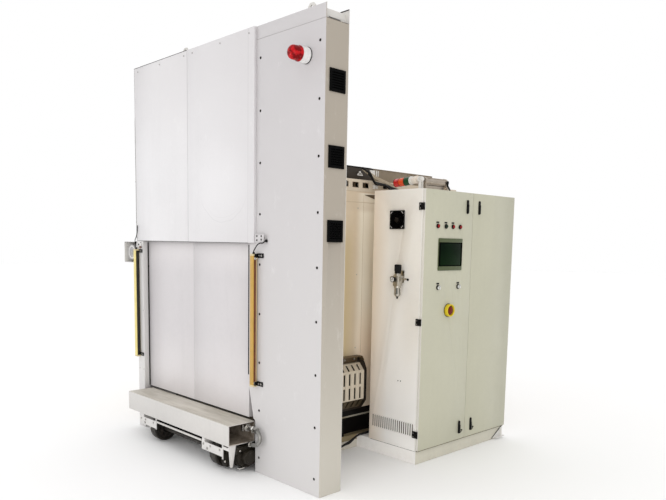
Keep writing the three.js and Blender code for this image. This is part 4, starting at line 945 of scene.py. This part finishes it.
s.lathe(prof + inner, (472, 0, 2592), (0, -1, 0), 48)
for k in range(24):
    a = 2 * math.pi * k / 24
    m = Matrix.Rotation(-a, 4, "Y")
    c = Vector((472, -64, 2592)) + m @ Vector((43.6, 0, 0))
    s.box(c.x - 1.0, c.x + 1.0, -67.5, -60.5, c.z - 1.4, c.z + 1.4, 0.4, 1, turn=m)
piece("beacon_lens", s, dome_red, replaces=["beacon_dome"])

# Lifting door: seal along its lower edge.
s = Shape()
s.box(-1448, -111, 29.0, 33.5, 339.5, 345, 1.2)
piece("door_bottom_seal", s, rubber, body="lift_door")

# Trolley: bolts, axle caps of the wheels, the cross rod, beam lips, drive and conduit.
s = Shape()
for x in (-1215, -1150, -1030):
    s.bolt((x, -181, 152), (0, -1, 0), 6.5, 3.4)
for x in (-345, -262, -150):
    s.bolt((x, -181, 148), (0, -1, 0), 6.5, 3.4)
s.bolt((-1160, -181, 128), (0, -1, 0), 8, 3.6)
s.bolt((-300, -181, 124), (0, -1, 0), 8, 3.6)
piece("bracket_bolts", s, bare_steel, body="trolley")
s = Shape()
for x in (-1018, -212):
    s.ring((x, -80, 95.3), (1, 0, 0), 18, 31, 0.3, 5, 28)
    for k in range(6):
        a = math.pi * k / 3
        s.bolt((x + 0.2, -80 + 46 * math.cos(a), 95.3 + 46 * math.sin(a)), (1, 0, 0), 4.6, 4)
    s.ring((x, -80, 95.3), (1, 0, 0), 74, 80, 0.2, 2.6, 40, 0.6)
piece("front_wheel_hubs", s, dark_bolt, body="front_wheels")
s = Shape()
for x in (-1018, -285):
    s.ring((x, 1500, 95.3), (1, 0, 0), 18, 31, 0.3, 5, 28)
    for k in range(6):
        a = math.pi * k / 3
        s.bolt((x + 0.2, 1500 + 46 * math.cos(a), 95.3 + 46 * math.sin(a)), (1, 0, 0), 4.6, 4)
piece("rear_wheel_hubs", s, dark_bolt, body="rear_wheels")
s = Shape()
s.rod((-980, -176, 165), (-375, -176, 165), 7.5, 16, 1.0)
piece("cross_rod", s, beam_paint, body="trolley")
# Painted shade: a black plate behind the cross rod, where the space under the beam lies in shade.
s = Shape()
s.box(-978, -377, -149, -146, 143, 191, 0.6)
piece("trolley_shadow_plate", s, mat_black, body="trolley")
s = Shape()
s.box(-42.0, -39.2, -184, 18, 194.6, 204.5, 0.8)
s.box(-42.0, -39.6, -186.0, -180.5, 206, 328, 0.6)
piece("beam_end_lips", s, beam_paint, body="trolley")
s = Shape()
s.ring((-45, -30, 98), (1, 0, 0), 55, 70, -1, 5, 40, 1.0)
for k in range(8):
    a = math.pi * (k + 0.5) / 4
    s.bolt((-40, -30 + 62 * math.cos(a), 98 + 62 * math.sin(a)), (1, 0, 0), 4.5, 4)
for k in range(9):
    s.ring((-150 + 11 * k, -30, 98), (1, 0, 0), 72.5, 78.5, 0, 4, 40, 0.8)
s.lathe([(0, 0), (34, 0), (34, 3), (28, 5), (12, 5.5), (0, 6)], (-8, -30, 98), (1, 0, 0), 28)
s.prism("x", rounded(-120, -72, 128, 176, 6, 4), -62, -40, 2.0)
s.box(-205, -160, -137, -129, 40, 168, 2.0)
piece("drive_ribs", s, dark_motor, body="trolley")
s = Shape()
s.screw((-40, -96, 150), (1, 0, 0), 6.5, 5)
s.bolt((-150, -137, 60), (0, -1, 0), 6, 5)
s.box(-66, -44, -98, -52, 22, 30, 1.5)
piece("drive_bolts", s, bright_steel, body="trolley")
s = Shape()
s.ring((-66, -35, 298), (1, 0, 0), 17.5, 27, 24, 34, 6, 1.0)
s.ring((-66, -35, 298), (1, 0, 0), 17.5, 24, 88, 101, 6, 1.0)
s.box(-70, -38, -60, -10, 296, 300, 1.0)
s.box(-74, -50, -66, -58, 276, 318, 1.5)
s.ring((-18, -35, 190), (1, 0, 0), 12.5, 19, 0, 13, 6, 1.0)
piece("conduit_fittings", s, bright_steel, body="trolley")
s = Shape()
pts = [(40, -35, 300), (64, -35, 297), (84, -35, 280), (95, -35, 255), (88, -35, 228), (70, -35, 207), (40, -35, 196), (8, -35, 191)]
bm_pts = []
for i in range(len(pts) - 1):
    a = Vector(pts[max(i - 1, 0)])
    b, c = Vector(pts[i]), Vector(pts[i + 1])
    d = Vector(pts[min(i + 2, len(pts) - 1)])
    for k in range(5):
        t = k / 5
        bm_pts.append(0.5 * ((2 * b) + (c - a) * t + (2 * a - 5 * b + 4 * c - d) * t * t + (3 * b - a - 3 * c + d) * t ** 3))
for a, b in zip(bm_pts, bm_pts[1:]):
    s.ring(a, b - a, 9.5, 13.2, 0, min(3.6, 0.6 * (b - a).length), 16, 0.5)
piece("conduit_ribs", s, plastic("conduit_sleeve", (0.27, 0.265, 0.25, 1), 0.35, dust=0.1), body="trolley")
s = Shape()
s.box(-1400, -46, 25.5, 31.5, 318, 333.5, 1.0)
piece("beam_rear_lip", s, dark_bolt, body="trolley")

# Furnace: cover strips on the roof band, a painted shadow under the band's ledge, the fold of its side sheet.
# Painted shadow: a dark triangle under the band's ledge by the cabinet.
s = Shape()
s.prism("x", [(944, 1878), (1056, 1885), (1056, 1851)], 50.3, 53.0, 0.4)
piece("side_fold_shadow", s, dark_brown_and_shadow)
s = Shape()
s.box(50.05, 51.0, 936.5, 939.5, 716, 1873, 0.4)
s.box(50.05, 51.2, 190, 1052, 1821.5, 1824.5, 0.5)
s.box(50.05, 51.8, 188, 2050, 1898, 1901, 0.6)
piece("side_seams", s, seam_cream)
s = Shape()
for y, z in ((300, 1100), (300, 1500), (620, 1780), (880, 1780), (620, 760), (880, 760), (880, 1300)):
    s.screw((50.2, y, z), (1, 0, 0), 4.5, 2.4)
for k in range(7):
    s.screw((50.2, 872 - 104.5 * k, 1945), (1, 0, 0), 3.2, 1.8)
piece("side_screws", s, bare_steel)
s = Shape()
for k in range(6):
    y = 925 - 104.5 * k
    s.box(44.0, 51.2, y - 4, y + 66, 1963.2, 1966.5, 0.5)
    s.box(44.0, 51.2, y - 4, y + 66, 1924.5, 1927.8, 0.5)
    s.box(44.0, 51.2, y - 4, y - 0.3, 1927.8, 1963.2, 0.5)
    s.box(44.0, 51.2, y + 62.3, y + 66, 1927.8, 1963.2, 0.5)
piece("band_hole_rims", s, cream_paint)
s = Shape()
for k in range(6):
    y = 925 - 104.5 * k
    s.box(10, 42, y + 28, y + 34, 1926, 1962, 1.0)
    s.box(2, 10, y - 6, y + 68, 1924, 1968, 1.0)
piece("band_inner_ribs", s, dark_brown_and_shadow)
s = Shape()
for y0, y1, z0, z1 in ((1028, 1045, 1926, 1952), (1053, 1072, 1927, 1950)):
    s.box(50.4, 66, y0, y1, z0, z1, 2.0)
s.box(56, 62, 1030, 1070, 1948, 1954, 1.0)
piece("roof_terminal_blocks", s, white_plastic)
s = Shape()
s.box(50.4, 68, 1142, 1171, 1935, 1955, 2.0)
s.lathe([(0, 0), (8, 0), (8, 5), (5, 8), (0, 8)], (50.4, 752, 1962), (1, 0, 0), 16)
piece("roof_black_block", s, black_plastic)

# Hood: latches and their white tabs, a rolled top edge, rivets.
s = Shape()
s.box(0.4, 9, 913, 966, 2018, 2026, 1.5)
s.box(0.4, 7, 930, 948, 2036, 2050, 1.5)
s.tube([(4, 915, 2022), (7, 922, 2033), (7, 945, 2036), (4, 962, 2030)], 3.0, 8, 5)
s.prism("x", [(1039, 2066), (1095, 2066), (1095, 2034), (1078, 2024), (1060, 2026)], 0.4, 12, 2.0)
s.box(0.4, 8, 1112, 1122, 2020, 2068, 1.5)
s.box(0.4, 8, 1134, 1139, 2026, 2066, 1.0)
piece("hood_latches", s, white_plastic)
s = Shape()
s.rod((1.5, 186, 2078), (1.5, 1060, 2078), 4.2, 10, 0.5)
s.box(-6, 3.2, 1000, 1290, 2077, 2080, 0.8)
piece("hood_edge_dark", s, rubber)
s = Shape()
s.rod((0.8, 1062, 2077.4), (0.8, 1788, 2076.4), 3.0, 10, 0.5)
s.box(0.3, 4, 1525, 1534, 2020, 2077, 0.8)
for y in range(1180, 1780, 75):
    s.screw((0.2, y, 2062), (1, 0, 0), 4, 2.2)
piece("hood_edge", s, taupe)

# Cables over the roof and along the base.
s = Shape()
s.tube([(60, 905, 2068), (82, 925, 2048), (100, 945, 2028), (102, 967, 1998), (100, 990, 1973), (98, 1015, 1958), (98, 1055, 1957), (99, 1098, 1956), (100, 1130, 1951), (98, 1165, 1944), (92, 1215, 1939), (80, 1270, 1934), (60, 1320, 1930)], 8.5, 12, 6)
s.tube([(30, 935, 2070), (60, 955, 2040), (86, 975, 2005), (90, 1005, 1975), (86, 1055, 1968), (84, 1120, 1962), (80, 1190, 1950), (60, 1280, 1936)], 6.0, 10, 6)
s.tube([(100, 1090, 1957), (112, 1110, 1949), (118, 1140, 1932), (118, 1175, 1926), (110, 1220, 1922)], 6.5, 10, 5)
piece("roof_cables", s, cable_black)
s = Shape()
s.tube([(40, 930, 2060), (70, 965, 2026), (84, 1010, 2004), (88, 1053, 1990), (88, 1110, 1978), (86, 1164, 1966), (76, 1240, 1950), (60, 1320, 1940)], 5.5, 12, 6)
s.tube([(30, 960, 2066), (62, 1000, 2034), (72, 1050, 2010), (70, 1120, 1994), (60, 1220, 1976), (40, 1330, 1960)], 4.5, 10, 6)
piece("roof_cables_beige", s, beige_cable)
s = Shape()
s.tube([(98, 560, 12), (100, 640, 32), (100, 714, 54), (100, 793, 74), (100, 843, 94), (99, 894, 108), (96, 925, 106), (88, 980, 103), (76, 1060, 102.4), (70, 1160, 102.4)], 6.8, 12, 6)
s.tube([(84, 600, 10), (87, 690, 34), (90, 750, 50), (93, 800, 58), (92, 845, 80), (86, 885, 99), (80, 922, 103), (72, 980, 101.4), (60, 1060, 101.4)], 5.2, 10, 6)
piece("base_cables", s, cable_black)

s = Shape()
s.box(49.4, 51.6, 300, 1120, 241, 253, 0.6)
piece("base_rail_lip", s, paint("lip_olive", (0.42, 0.39, 0.32, 1), 0.5, mottled=0.12, dust=0, build=lambda f, c: f.mix(f.span(f.y, (740 + OY) / 1000, (860 + OY) / 1000), (0.20, 0.17, 0.11, 1), c)))

# Terminal guard: its dark back plate's flap, edge bolts and the fittings above.
s = Shape()
s.prism("x", [(312, 702), (886, 702), (908, 672), (912, 676), (890, 708), (312, 708)], 60, 118, 0.6)
s.box(70.6, 74, 318, 880, 662, 700, 0.6)
piece("guard_flap", s, dark_brown_and_shadow)
s = Shape()
for y in (330, 470, 610, 750, 850):
    s.bolt((74, y, 682), (1, 0, 0), 6, 5)
for z in (420, 500, 580):
    s.bolt((70.4, 925, z), (1, 0, 0), 7, 5)
piece("guard_bolts", s, galvanised)
s = Shape()
for i in range(11):
    y = 873 - 13 - i * 54
    s.box(155.6, 158.5, y - (15 if i else 8), y + (15 if i else 8), 398, 602, 0.8)
piece("guard_ribs", s, guard_beige)
s = Shape()
s.box(88, 96, 296, 852, 345, 640, 1.0)
for i in range(5):
    s.rod((92, 360 + 110 * i, 480), (140, 360 + 110 * i, 480), 12, 16, 2)
piece("terminals", s, dark_bolt)
s = Shape()
s.prism("z", [(639.5, 2006), (639.5, 1886), (652, 1890), (660, 1950), (652, 2003)], 15, 19, 0.5)
s.prism("y", [(640, 16), (640, 91), (652, 84), (658, 24)], 1946, 1952, 0.5)
s.prism("x", [(1872, 10), (2007, 10), (2007, 92)], 621.6, 625.0, 0.6)
s.bolt((625.2, 1978, 50), (1, 0, 0), 8, 5)
piece("plinth_corner", s, white_plastic)
s = Shape()
s.prism("x", [(1862, 8), (2008.4, 8), (2008.4, 97), (2000, 97)], 619.6, 621.4, 0.5)
piece("plinth_corner_shadow", s, rubber)

# Painted highlight: a bright strip along the cabinet's front fold.
s = Shape()
s.box(609.5, 616.8, 916.0, 917.2, 100, 1897, 0.4)
piece("cabinet_fold_highlight", s, paint("fold_highlight_white", (0.96, 0.94, 0.90, 1), 0.4, dust=0))

# Base frame: the dark joint on top of the plinth.
s = Shape()
s.box(190, 615, 918.6, 921.5, 92.6, 95.2, 0.5)
s.box(616.5, 621.0, 922, 2005, 92.6, 95.6, 0.6)
piece("plinth_seal", s, rubber)

# Cabinet: hinge blocks, leaves and screws, holes in the side wall, the fan's clips and screws.
s = Shape()
for z0, z1 in ((1757, 1806), (976, 1023), (190, 239)):
    s.box(590, 612.4, 909.5, 916.7, z0, z1, 2.0)
    s.box(594, 608, 905.5, 910.5, z0 + 5, z1 - 5, 2.0)
    s.rod((617, 911, z0 + 1), (617, 911, z1 - 1), 4.8, 24, 1.0)
piece("hinge_blocks", s, black_plastic)
s = Shape()
for z0, z1 in ((1757, 1806), (976, 1023), (190, 239)):
    s.box(622.2, 636, 909.5, 916.7, z0, z1, 2.0)
    s.box(624, 633, 907.0, 910.5, z0 + 5, z1 - 5, 1.5)
piece("hinge_leaves", s, black_plastic, body="door_left")
s = Shape()
for z0, z1 in ((1757, 1806), (976, 1023), (190, 239)):
    for z in (z0 + 12, z1 - 12):
        s.screw((605, 905.7, z), (0, -1, 0), 4, 2.4)
piece("hinge_screws", s, bare_steel)
s = Shape()
for x, z in ((444, 570), (468, 571)):
    s.lathe([(0, 0), (4.2, 0), (4.2, 0.5), (3.0, 0.9), (0, 0.4)], (x, 916.95, z), (0, -1, 0), 14)
piece("side_wall_holes", s, dark_bolt)
s = Shape()
for sx in (-1, 1):
    for sz in (-1, 1):
        m = Matrix.Rotation(math.radians(45 * sx * sz), 4, "Y")
        s.box(399 + sx * 49 - 11, 399 + sx * 49 + 11, 904.6, 907.6, 1693.5 + sz * 49 - 2.2, 1693.5 + sz * 49 + 2.2, 0.8, 2, turn=m)
piece("fan_corner_clips", s, grey_cable)
s = Shape()
for sx in (-1, 1):
    for sz in (-1, 1):
        s.screw((399 + sx * 55, 906.6, 1693.5 + sz * 55), (0, -1, 0), 4.0, 2.6)
s.lathe([(0, 0), (17, 0), (17, 2), (14, 3.4), (0, 3.8)], (399, 906.9, 1693.5), (0, -1, 0), 28)
piece("fan_screws", s, dark_bolt)

# Panel: frame, bands and the glass; all on the left door.
s = Shape()
F = 645.0
for y0, y1, z0, z1 in ((1073, 1337, 1543, 1568), (1073, 1337, 1354, 1381), (1073, 1083, 1381, 1543), (1327, 1337, 1381, 1543)):
    s.box(F - 1, F + 1.6, y0, y1, z0, z1, 0.8)
piece("hmi_bezel_bands", s, bezel, body="door_left")
s = Shape()
s.box(F + 0.2, F + 1.3, 1085, 1325, 1384, 1540, 0.4)
piece("hmi_screen", s, screen, body="door_left")
s = Shape()
for y0, y1, z0, z1 in ((1072.4, 1337.6, 1538.5, 1544.5), (1072.4, 1337.6, 1379.5, 1385.5), (1072.4, 1086, 1384, 1540), (1324, 1337.6, 1384, 1540)):
    s.box(F - 0.5, F + 2.4, y0, y1, z0, z1, 0.6)
piece("hmi_screen_edge", s, mat_black, body="door_left")

D = 639.0
for k, (y, mat) in enumerate(((1057, red_cap), (1148, green_cap), (1228, red_cap), (1311, red_cap)), 1):
    s = Shape()
    s.lathe([(0, -8), (9.6, -8), (9.6, 7.4), (12.4, 7.8), (12.4, 9.6), (12.0, 10.0), (0, 10.0)], (D, y, 1654), (1, 0, 0), 36)
    piece("button_skirt_%d" % k, s, black_plastic, body="button_%d" % k)
    s = Shape()
    s.lathe([(0, 10.1), (11.9, 10.1), (11.9, 11.4), (10.6, 13.0), (7.0, 14.2), (3.0, 14.6), (0, 14.7)], (D, y, 1654), (1, 0, 0), 36)
    piece("button_cap_%d" % k, s, mat, body="button_%d" % k, replaces=["pushbutton_%d" % k])
s = Shape()
for y in (1057, 1148, 1228, 1311):
    s.lathe([(12.9, 0.2), (15.8, 0.2), (16.2, 1.2), (16.2, 4.5), (15.0, 7.5), (13.2, 8.2), (12.9, 7.0)], (D, y, 1654), (1, 0, 0), 36)
for y in (1080, 1312):
    s.lathe([(14.4, 0.2), (17.2, 0.2), (17.8, 1.2), (17.8, 5.0), (16.6, 8.4), (14.8, 9.2), (14.4, 8.0)], (D, y, 1235), (1, 0, 0), 36)
piece("button_bezels", s, black_metal, body="door_left")
s = Shape()
for y in (1057, 1148, 1228):
    s.prism("x", rounded(y - 17, y + 12, 1674, 1684, 2, 3), D + 0.2, D + 2.4, 0.4)
piece("button_label_tabs", s, black_plastic, body="door_left")
s = Shape()
for y in (1080, 1312):
    s.prism("x", rounded(y - 17, y + 12, 1256, 1266, 2, 3), D + 0.2, D + 2.2, 0.4)
piece("label_tabs", s, black_plastic, body="door_left")
s = Shape()
s.ring((D, 1206, 1070), (1, 0, 0), 44.5, 47.5, 0.2, 3.2, 48, 0.8)
for k in range(3):
    a = 2 * math.pi * k / 3 + 0.4
    m = Matrix.Rotation(a, 4, "X")
    c = m @ Vector((0, 0, 40))
    s.box(D + 27.2, D + 27.9, 1206 + c.y - 7, 1206 + c.y + 7, 1070 + c.z - 1.4, 1070 + c.z + 1.4, 0.3, 1, turn=m)
piece("estop_details", s, rubber, body="door_left")
for joint, y, top in (("upper_left_handle", 1391, 1846), ("upper_right_handle", 1535, 1846), ("lower_left_handle", 1391, 240), ("lower_right_handle", 1535, 240)):
    s = Shape()
    s.lathe([(0, 0), (6, 0), (6, 1.0), (4.4, 2.0), (0, 2.2)], (D + 7.9, y, top - 12), (1, 0, 0), 20)
    s.lathe([(0, 0), (2.8, 0), (2.8, 0.8), (0, 0.8)], (D + 9.9, y, top - 12), (1, 0, 0), 6)
    for k in range(7):
        s.box(D + 12.6, D + 13.6, y - 5, y + 5, top - 82 + 5 * k, top - 80 + 5 * k, 0.4)
    piece(joint + "_lock", s, black_metal, body=joint)
s = Shape()
for z in (130, 1868):
    for y in (1000, 1440):
        s.screw((D + 0.05, y, z), (1, 0, 0), 3.4, 1.8)
piece("door_left_screws", s, door_green, body="door_left")
s = Shape()
for z in (130, 1868):
    for y in (1490, 1980):
        s.screw((D + 0.05, y, z), (1, 0, 0), 3.4, 1.8)
piece("door_right_screws", s, door_green, body="door_right")
for joint, y, top in (("lower_left_handle", 1391, 240), ("lower_right_handle", 1535, 240)):
    s = Shape()
    s.tube([(D + 6, y + 2, top - 84), (D + 7, y + 14, top - 90), (D + 8, y + 24, top - 84), (D + 8, y + 27, top - 76)], 2.4, 10, 5)
    s.lathe([(0, -6), (4, -4.5), (6, 0), (4, 4.5), (0, 6)], (D + 8, y + 27, top - 73), (1, 0.4, -0.4), 16)
    piece(joint + "_tag", s, black_plastic, body=joint)

# Air preparation unit in place of its plain solids.
fx, fy = 453.0, 872.0
s = Shape()
s.box(fx - 24, fx + 24, fy - 24, fy + 24, 1240, 1314, 5.0, 3)
s.box(fx - 25, fx + 25, fy - 20, fy + 20, 1250, 1302, 3.0)
s.lathe([(0, 1312), (22.5, 1312), (23.5, 1315), (23.5, 1321), (20, 1324), (19, 1333), (0, 1333)], (fx, fy, 0), (0, 0, 1), 32)
s.rod((fx - 24, fy, 1293), (fx - 44, fy, 1293), 12, 24, 1.5)
s.lathe([(0, 0), (13.5, 0), (14.5, 1.5), (14.5, 15), (13.5, 17), (0, 17)], (fx - 42, fy, 1293), (-1, 0, 0), 6)
s.rod((fx - 58, fy, 1293), (fx - 66, fy, 1293), 8, 16, 1)
s.lathe([(0, 0), (13.5, 0), (14.5, 1.5), (14.5, 15), (13.5, 17), (0, 17)], (fx + 24, fy, 1293), (1, 0, 0), 6)
s.rod((fx + 40, fy, 1291), (fx + 84, fy, 1291), 7, 20, 1)
s.ring((fx + 58, fy, 1291), (1, 0, 0), 6.5, 10, 0, 9, 6, 0.8)
s.box(fx - 22, fx + 22, fy + 22, 916.7, 1300.5, 1307.5, 1.2)
s.box(fx - 22, fx + 22, 913.5, 916.7, 1262, 1346, 1.2)
piece("frl_casting", s, frl_metal, replaces=["frl_body"])
s = Shape()
s.lathe([(19.5, 1334.6), (21, 1334.6), (22.5, 1337), (22.5, 1341), (19.5, 1342), (0, 1342), (0, 1334.6)], (fx, fy, 0), (0, 0, 1), 32)
knob = []
for k in range(96):
    a = 2 * math.pi * k / 96
    knob.append((fx + (23.6 + 0.7 * math.cos(24 * a)) * math.cos(a), fy + (23.6 + 0.7 * math.cos(24 * a)) * math.sin(a)))
s.prism("z", knob, 1342.6, 1384)
s.lathe([(0, 1384), (22, 1384), (20.5, 1387), (14, 1388.5), (0, 1389)], (fx, fy, 0), (0, 0, 1), 32)
piece("frl_knob_ribbed", s, black_plastic, body="pressure_knob", replaces=["frl_knob"])
s = Shape()
s.ring((fx, fy, 0), (0, 0, 1), 16, 24.5, 1228, 1241, 36, 1.2)
for k in range(6):
    a = 2 * math.pi * (k + 0.5) / 6
    m = Matrix.Rotation(a, 4, "Z") @ Matrix.Rotation(math.radians(-4), 4, "Y")
    c = Matrix.Rotation(a, 4, "Z") @ Vector((20.6, 0, 0))
    s.box(fx + c.x - 1.5, fx + c.x + 1.5, fy + c.y - 4.5, fy + c.y + 4.5, 1180, 1232, 0.8, 2, turn=m)
s.lathe([(8, 1168), (15, 1170), (19.5, 1178), (20, 1186), (17.6, 1186), (17, 1179), (13, 1172.5), (8, 1171)], (fx, fy, 0), (0, 0, 1), 36)
piece("frl_bowl_guard", s, frl_metal)
s = Shape()
s.lathe([(0, 1236), (18.5, 1236), (17.5, 1190), (15, 1178), (10, 1173), (0, 1172)], (fx, fy, 0), (0, 0, 1), 32)
piece("frl_bowl", s, bowl_smoke)
s = Shape()
s.lathe([(0, 1153), (5, 1153), (6, 1155), (6, 1163), (9, 1165), (9, 1171), (0, 1171)], (fx, fy, 0), (0, 0, 1), 20)
s.lathe([(0, -9), (6, -7), (9, 0), (6, 7), (0, 9)], (fx + 90, fy, 1288), (0, 0, 1), 20)
s.ring((fx, fy, 0), (0, 0, 1), 18, 22.6, 1327, 1334, 32, 0.8)
piece("frl_black_fittings", s, black_plastic)
s = Shape()
s.rod((fx - 10, fy - 22, 1286), (fx - 10, fy - 34, 1286), 6, 16, 1)
s.lathe([(0, 0), (17, 0), (19.5, 2), (19.5, 12), (18.5, 13.5), (16.5, 13.5), (16.5, 11), (0, 11)], (fx - 10, fy - 33, 1286), (0, -1, 0), 36)
piece("gauge_case", s, black_plastic)
s = Shape()
s.lathe([(0, 0), (16.2, 0), (16.2, 0.8), (0, 0.9)], (fx - 10, fy - 44.1, 1286), (0, -1, 0), 36)
piece("gauge_dial", s, label_white)
s = Shape()
m = Matrix.Rotation(math.radians(40), 4, "Y")
s.box(fx - 11.2, fx - 8.8, fy - 45.8, fy - 45.2, 1286 - 3, 1286 + 12, 0.25, 1, turn=m)
for k in range(9):
    a = math.radians(-130 + 260 * k / 8)
    m = Matrix.Rotation(a, 4, "Y")
    c = m @ Vector((0, 0, 13.6))
    s.box(fx - 10 + c.x - 0.4, fx - 10 + c.x + 0.4, fy - 45.4, fy - 45.1, 1286 + c.z - 1.4, 1286 + c.z + 1.4, 0, 1, turn=m)
s.lathe([(0, 0), (2.2, 0), (2.2, 0.8), (0, 1)], (fx - 10, fy - 45.2, 1286), (0, -1, 0), 14)
piece("gauge_needle", s, black_plastic)

# Signal tower and the small air cylinder on the cabinet's roof.
s = Shape()
TILT = math.radians(4.3)
ALONG = Vector((math.cos(TILT), 0, math.sin(TILT)))


def on_tower(t):
    """A point of the lying signal tower's axis, t before its pivot."""
    return Vector((510, 1020, 1972)) - ALONG * t


for t in (228, 183, 136, 90):
    s.ring(on_tower(t), ALONG, 25, 29.8, -1.2 if t < 228 else 0, 1.2 if t < 228 else 2.4, 40, 0.4)
piece("tower_joints", s, rubber, body="signal_tower")
s = Shape()
s.ring(on_tower(89), ALONG, 15, 29.6, 0, 9, 36, 1.0)
s.ring(on_tower(74), ALONG, 15, 27.5, 0, 4, 36, 1.0)
s.ring(on_tower(58), ALONG, 12, 25.2, 0, 3.5, 36, 1.0)
s.ring((510, 1012.4, 1972), (0, 1, 0), 15, 18.6, 0, 15.2, 40, 0.8)
piece("tower_base_rings", s, white_plastic, body="signal_tower")
s = Shape()
s.ring((510, 1004.9, 1972), (0, -1, 0), 6, 18.6, 0, 4.5, 36, 0.8)
s.bolt((510, 1004.9, 1972), (0, -1, 0), 5, 4)
for x, y in ((491, 1003), (529, 1003), (491, 1037), (529, 1037)):
    s.screw((x, y, 1908.2), (0, 0, 1), 3.2, 2.0)
piece("tower_foot_details", s, white_plastic)
s = Shape()
for a in (0.9, 2.25, 4.05, 5.4):
    cx, cz = 500 + 28.5 * math.cos(a), 1962 + 28.5 * math.sin(a)
    s.rod((cx, 1056, cz), (cx, 1302, cz), 3.2, 12, 0.6)
s.ring((500, 1068, 1962), (0, 1, 0), 26, 28.2, 4, 14, 36, 0.8)
s.ring((500, 1268, 1962), (0, 1, 0), 26, 28.2, 0, 10, 36, 0.8)
s.lathe([(0, 0), (9, 0), (9, 8), (7, 12), (0, 12)], (500, 1052, 1962), (0, -1, 0), 6)
piece("air_cylinder_rods", s, cylinder_alloy)
s = Shape()
s.box(480, 520, 1070, 1286, 1908.5, 1934, 1.5)
piece("cylinder_saddle", s, cylinder_alloy)
s = Shape()
s.box(474, 526, 1064, 1292, 1901, 1908.4, 1.0)
piece("cylinder_saddle_pad", s, plastic("pad_olive", (0.10, 0.085, 0.04, 1), 0.7, dust=0.05))
s = Shape()
s.box(527, 541, 1279, 1297, 1953, 1975, 3.0)
s.tube([(534, 1288, 1956), (535, 1290, 1942), (541, 1294, 1928), (545, 1300, 1914), (545, 1302, 1904)], 6.5, 12, 5)
s.rod((500, 1303, 1978), (500, 1311, 1978), 8, 16, 1)
piece("air_cylinder_fitting", s, black_plastic)

# ------------------------------------------------------------- light, floor
floor_mesh = bpy.data.meshes.new("floor")
fb = bmesh.new()
bmesh.ops.create_circle(fb, cap_ends=True, radius=40, segments=96)
fb.to_mesh(floor_mesh)
fb.free()
floor = bpy.data.objects.new("floor", floor_mesh)
floor.location.z = -0.001
scene.collection.objects.link(floor)
ff = Finish("floor_pale", 0.9)
ff.colour(ff.mix(ff.span(ff.noise(0.7, 3, 0.5), 0.3, 0.7), (0.955, 0.955, 0.952, 1), (0.965, 0.965, 0.963, 1)))
floor_mesh.materials.append(ff.m)

world = bpy.data.worlds.new("studio")
scene.world = world
world.use_nodes = True
wt = world.node_tree
for n in list(wt.nodes):
    wt.nodes.remove(n)


def wnode(kind, **props):
    n = wt.nodes.new(kind)
    for k, v in props.items():
        setattr(n, k, v)
    return n


def wmath(op, a, b):
    n = wnode("ShaderNodeMath", operation=op)
    for i, v in enumerate((a, b)):
        if isinstance(v, bpy.types.NodeSocket):
            wt.links.new(v, n.inputs[i])
        else:
            n.inputs[i].default_value = v
    return n.outputs[0]


SKY = (0.86, 0.86, 0.865)
RIGHT_SHADE = (0.22, 0.23, 0.25)
ABOVE = (0.36, 0.36, 0.36)
wc = wnode("ShaderNodeTexCoord")
ws = wnode("ShaderNodeSeparateXYZ")
wt.links.new(wc.outputs["Generated"], ws.inputs[0])
px_ = wmath("MAXIMUM", ws.outputs[0], 0.0)
pz_ = wmath("MAXIMUM", ws.outputs[2], 0.0)
cc = wnode("ShaderNodeCombineColor")
for i in range(3):
    v = wmath("SUBTRACT", SKY[i], wmath("MULTIPLY", px_, RIGHT_SHADE[i]))
    v = wmath("ADD", v, wmath("MULTIPLY", pz_, ABOVE[i]))
    wt.links.new(v, cc.inputs[i])
lit = wnode("ShaderNodeBackground")
wt.links.new(cc.outputs[0], lit.inputs["Color"])
lit.inputs["Strength"].default_value = 1.0
seen = wnode("ShaderNodeBackground")
seen.inputs["Color"].default_value = (1, 1, 1, 1)
seen.inputs["Strength"].default_value = 1.0
lp = wnode("ShaderNodeLightPath")
mixw = wnode("ShaderNodeMixShader")
wt.links.new(lp.outputs["Is Camera Ray"], mixw.inputs[0])
wt.links.new(lit.outputs[0], mixw.inputs[1])
wt.links.new(seen.outputs[0], mixw.inputs[2])
wo = wnode("ShaderNodeOutputWorld")
wt.links.new(mixw.outputs[0], wo.inputs[0])


def area(name, place, aim, size, power, colour=(1, 1, 1)):
    d = bpy.data.lights.new(name, "AREA")
    d.shape = "SQUARE"
    d.size = size
    d.energy = power
    d.color = colour
    o = bpy.data.objects.new(name, d)
    o.location = Vector(place)
    o.rotation_euler = (Vector(aim) - Vector(place)).to_track_quat("-Z", "Y").to_euler()
    scene.collection.objects.link(o)
    return o


area("key_left_front", (-3.6, -5.0, 2.6), (-0.3, -0.9, 1.3), 3.2, 20, (1.0, 0.99, 1.0))
area("fill_right_front", (4.8, -4.2, 1.8), (0.7, -0.2, 0.9), 2.6, 50, (1.0, 0.985, 0.96))

# --------------------------------------------------------------------- update
bpy.context.view_layer.update()
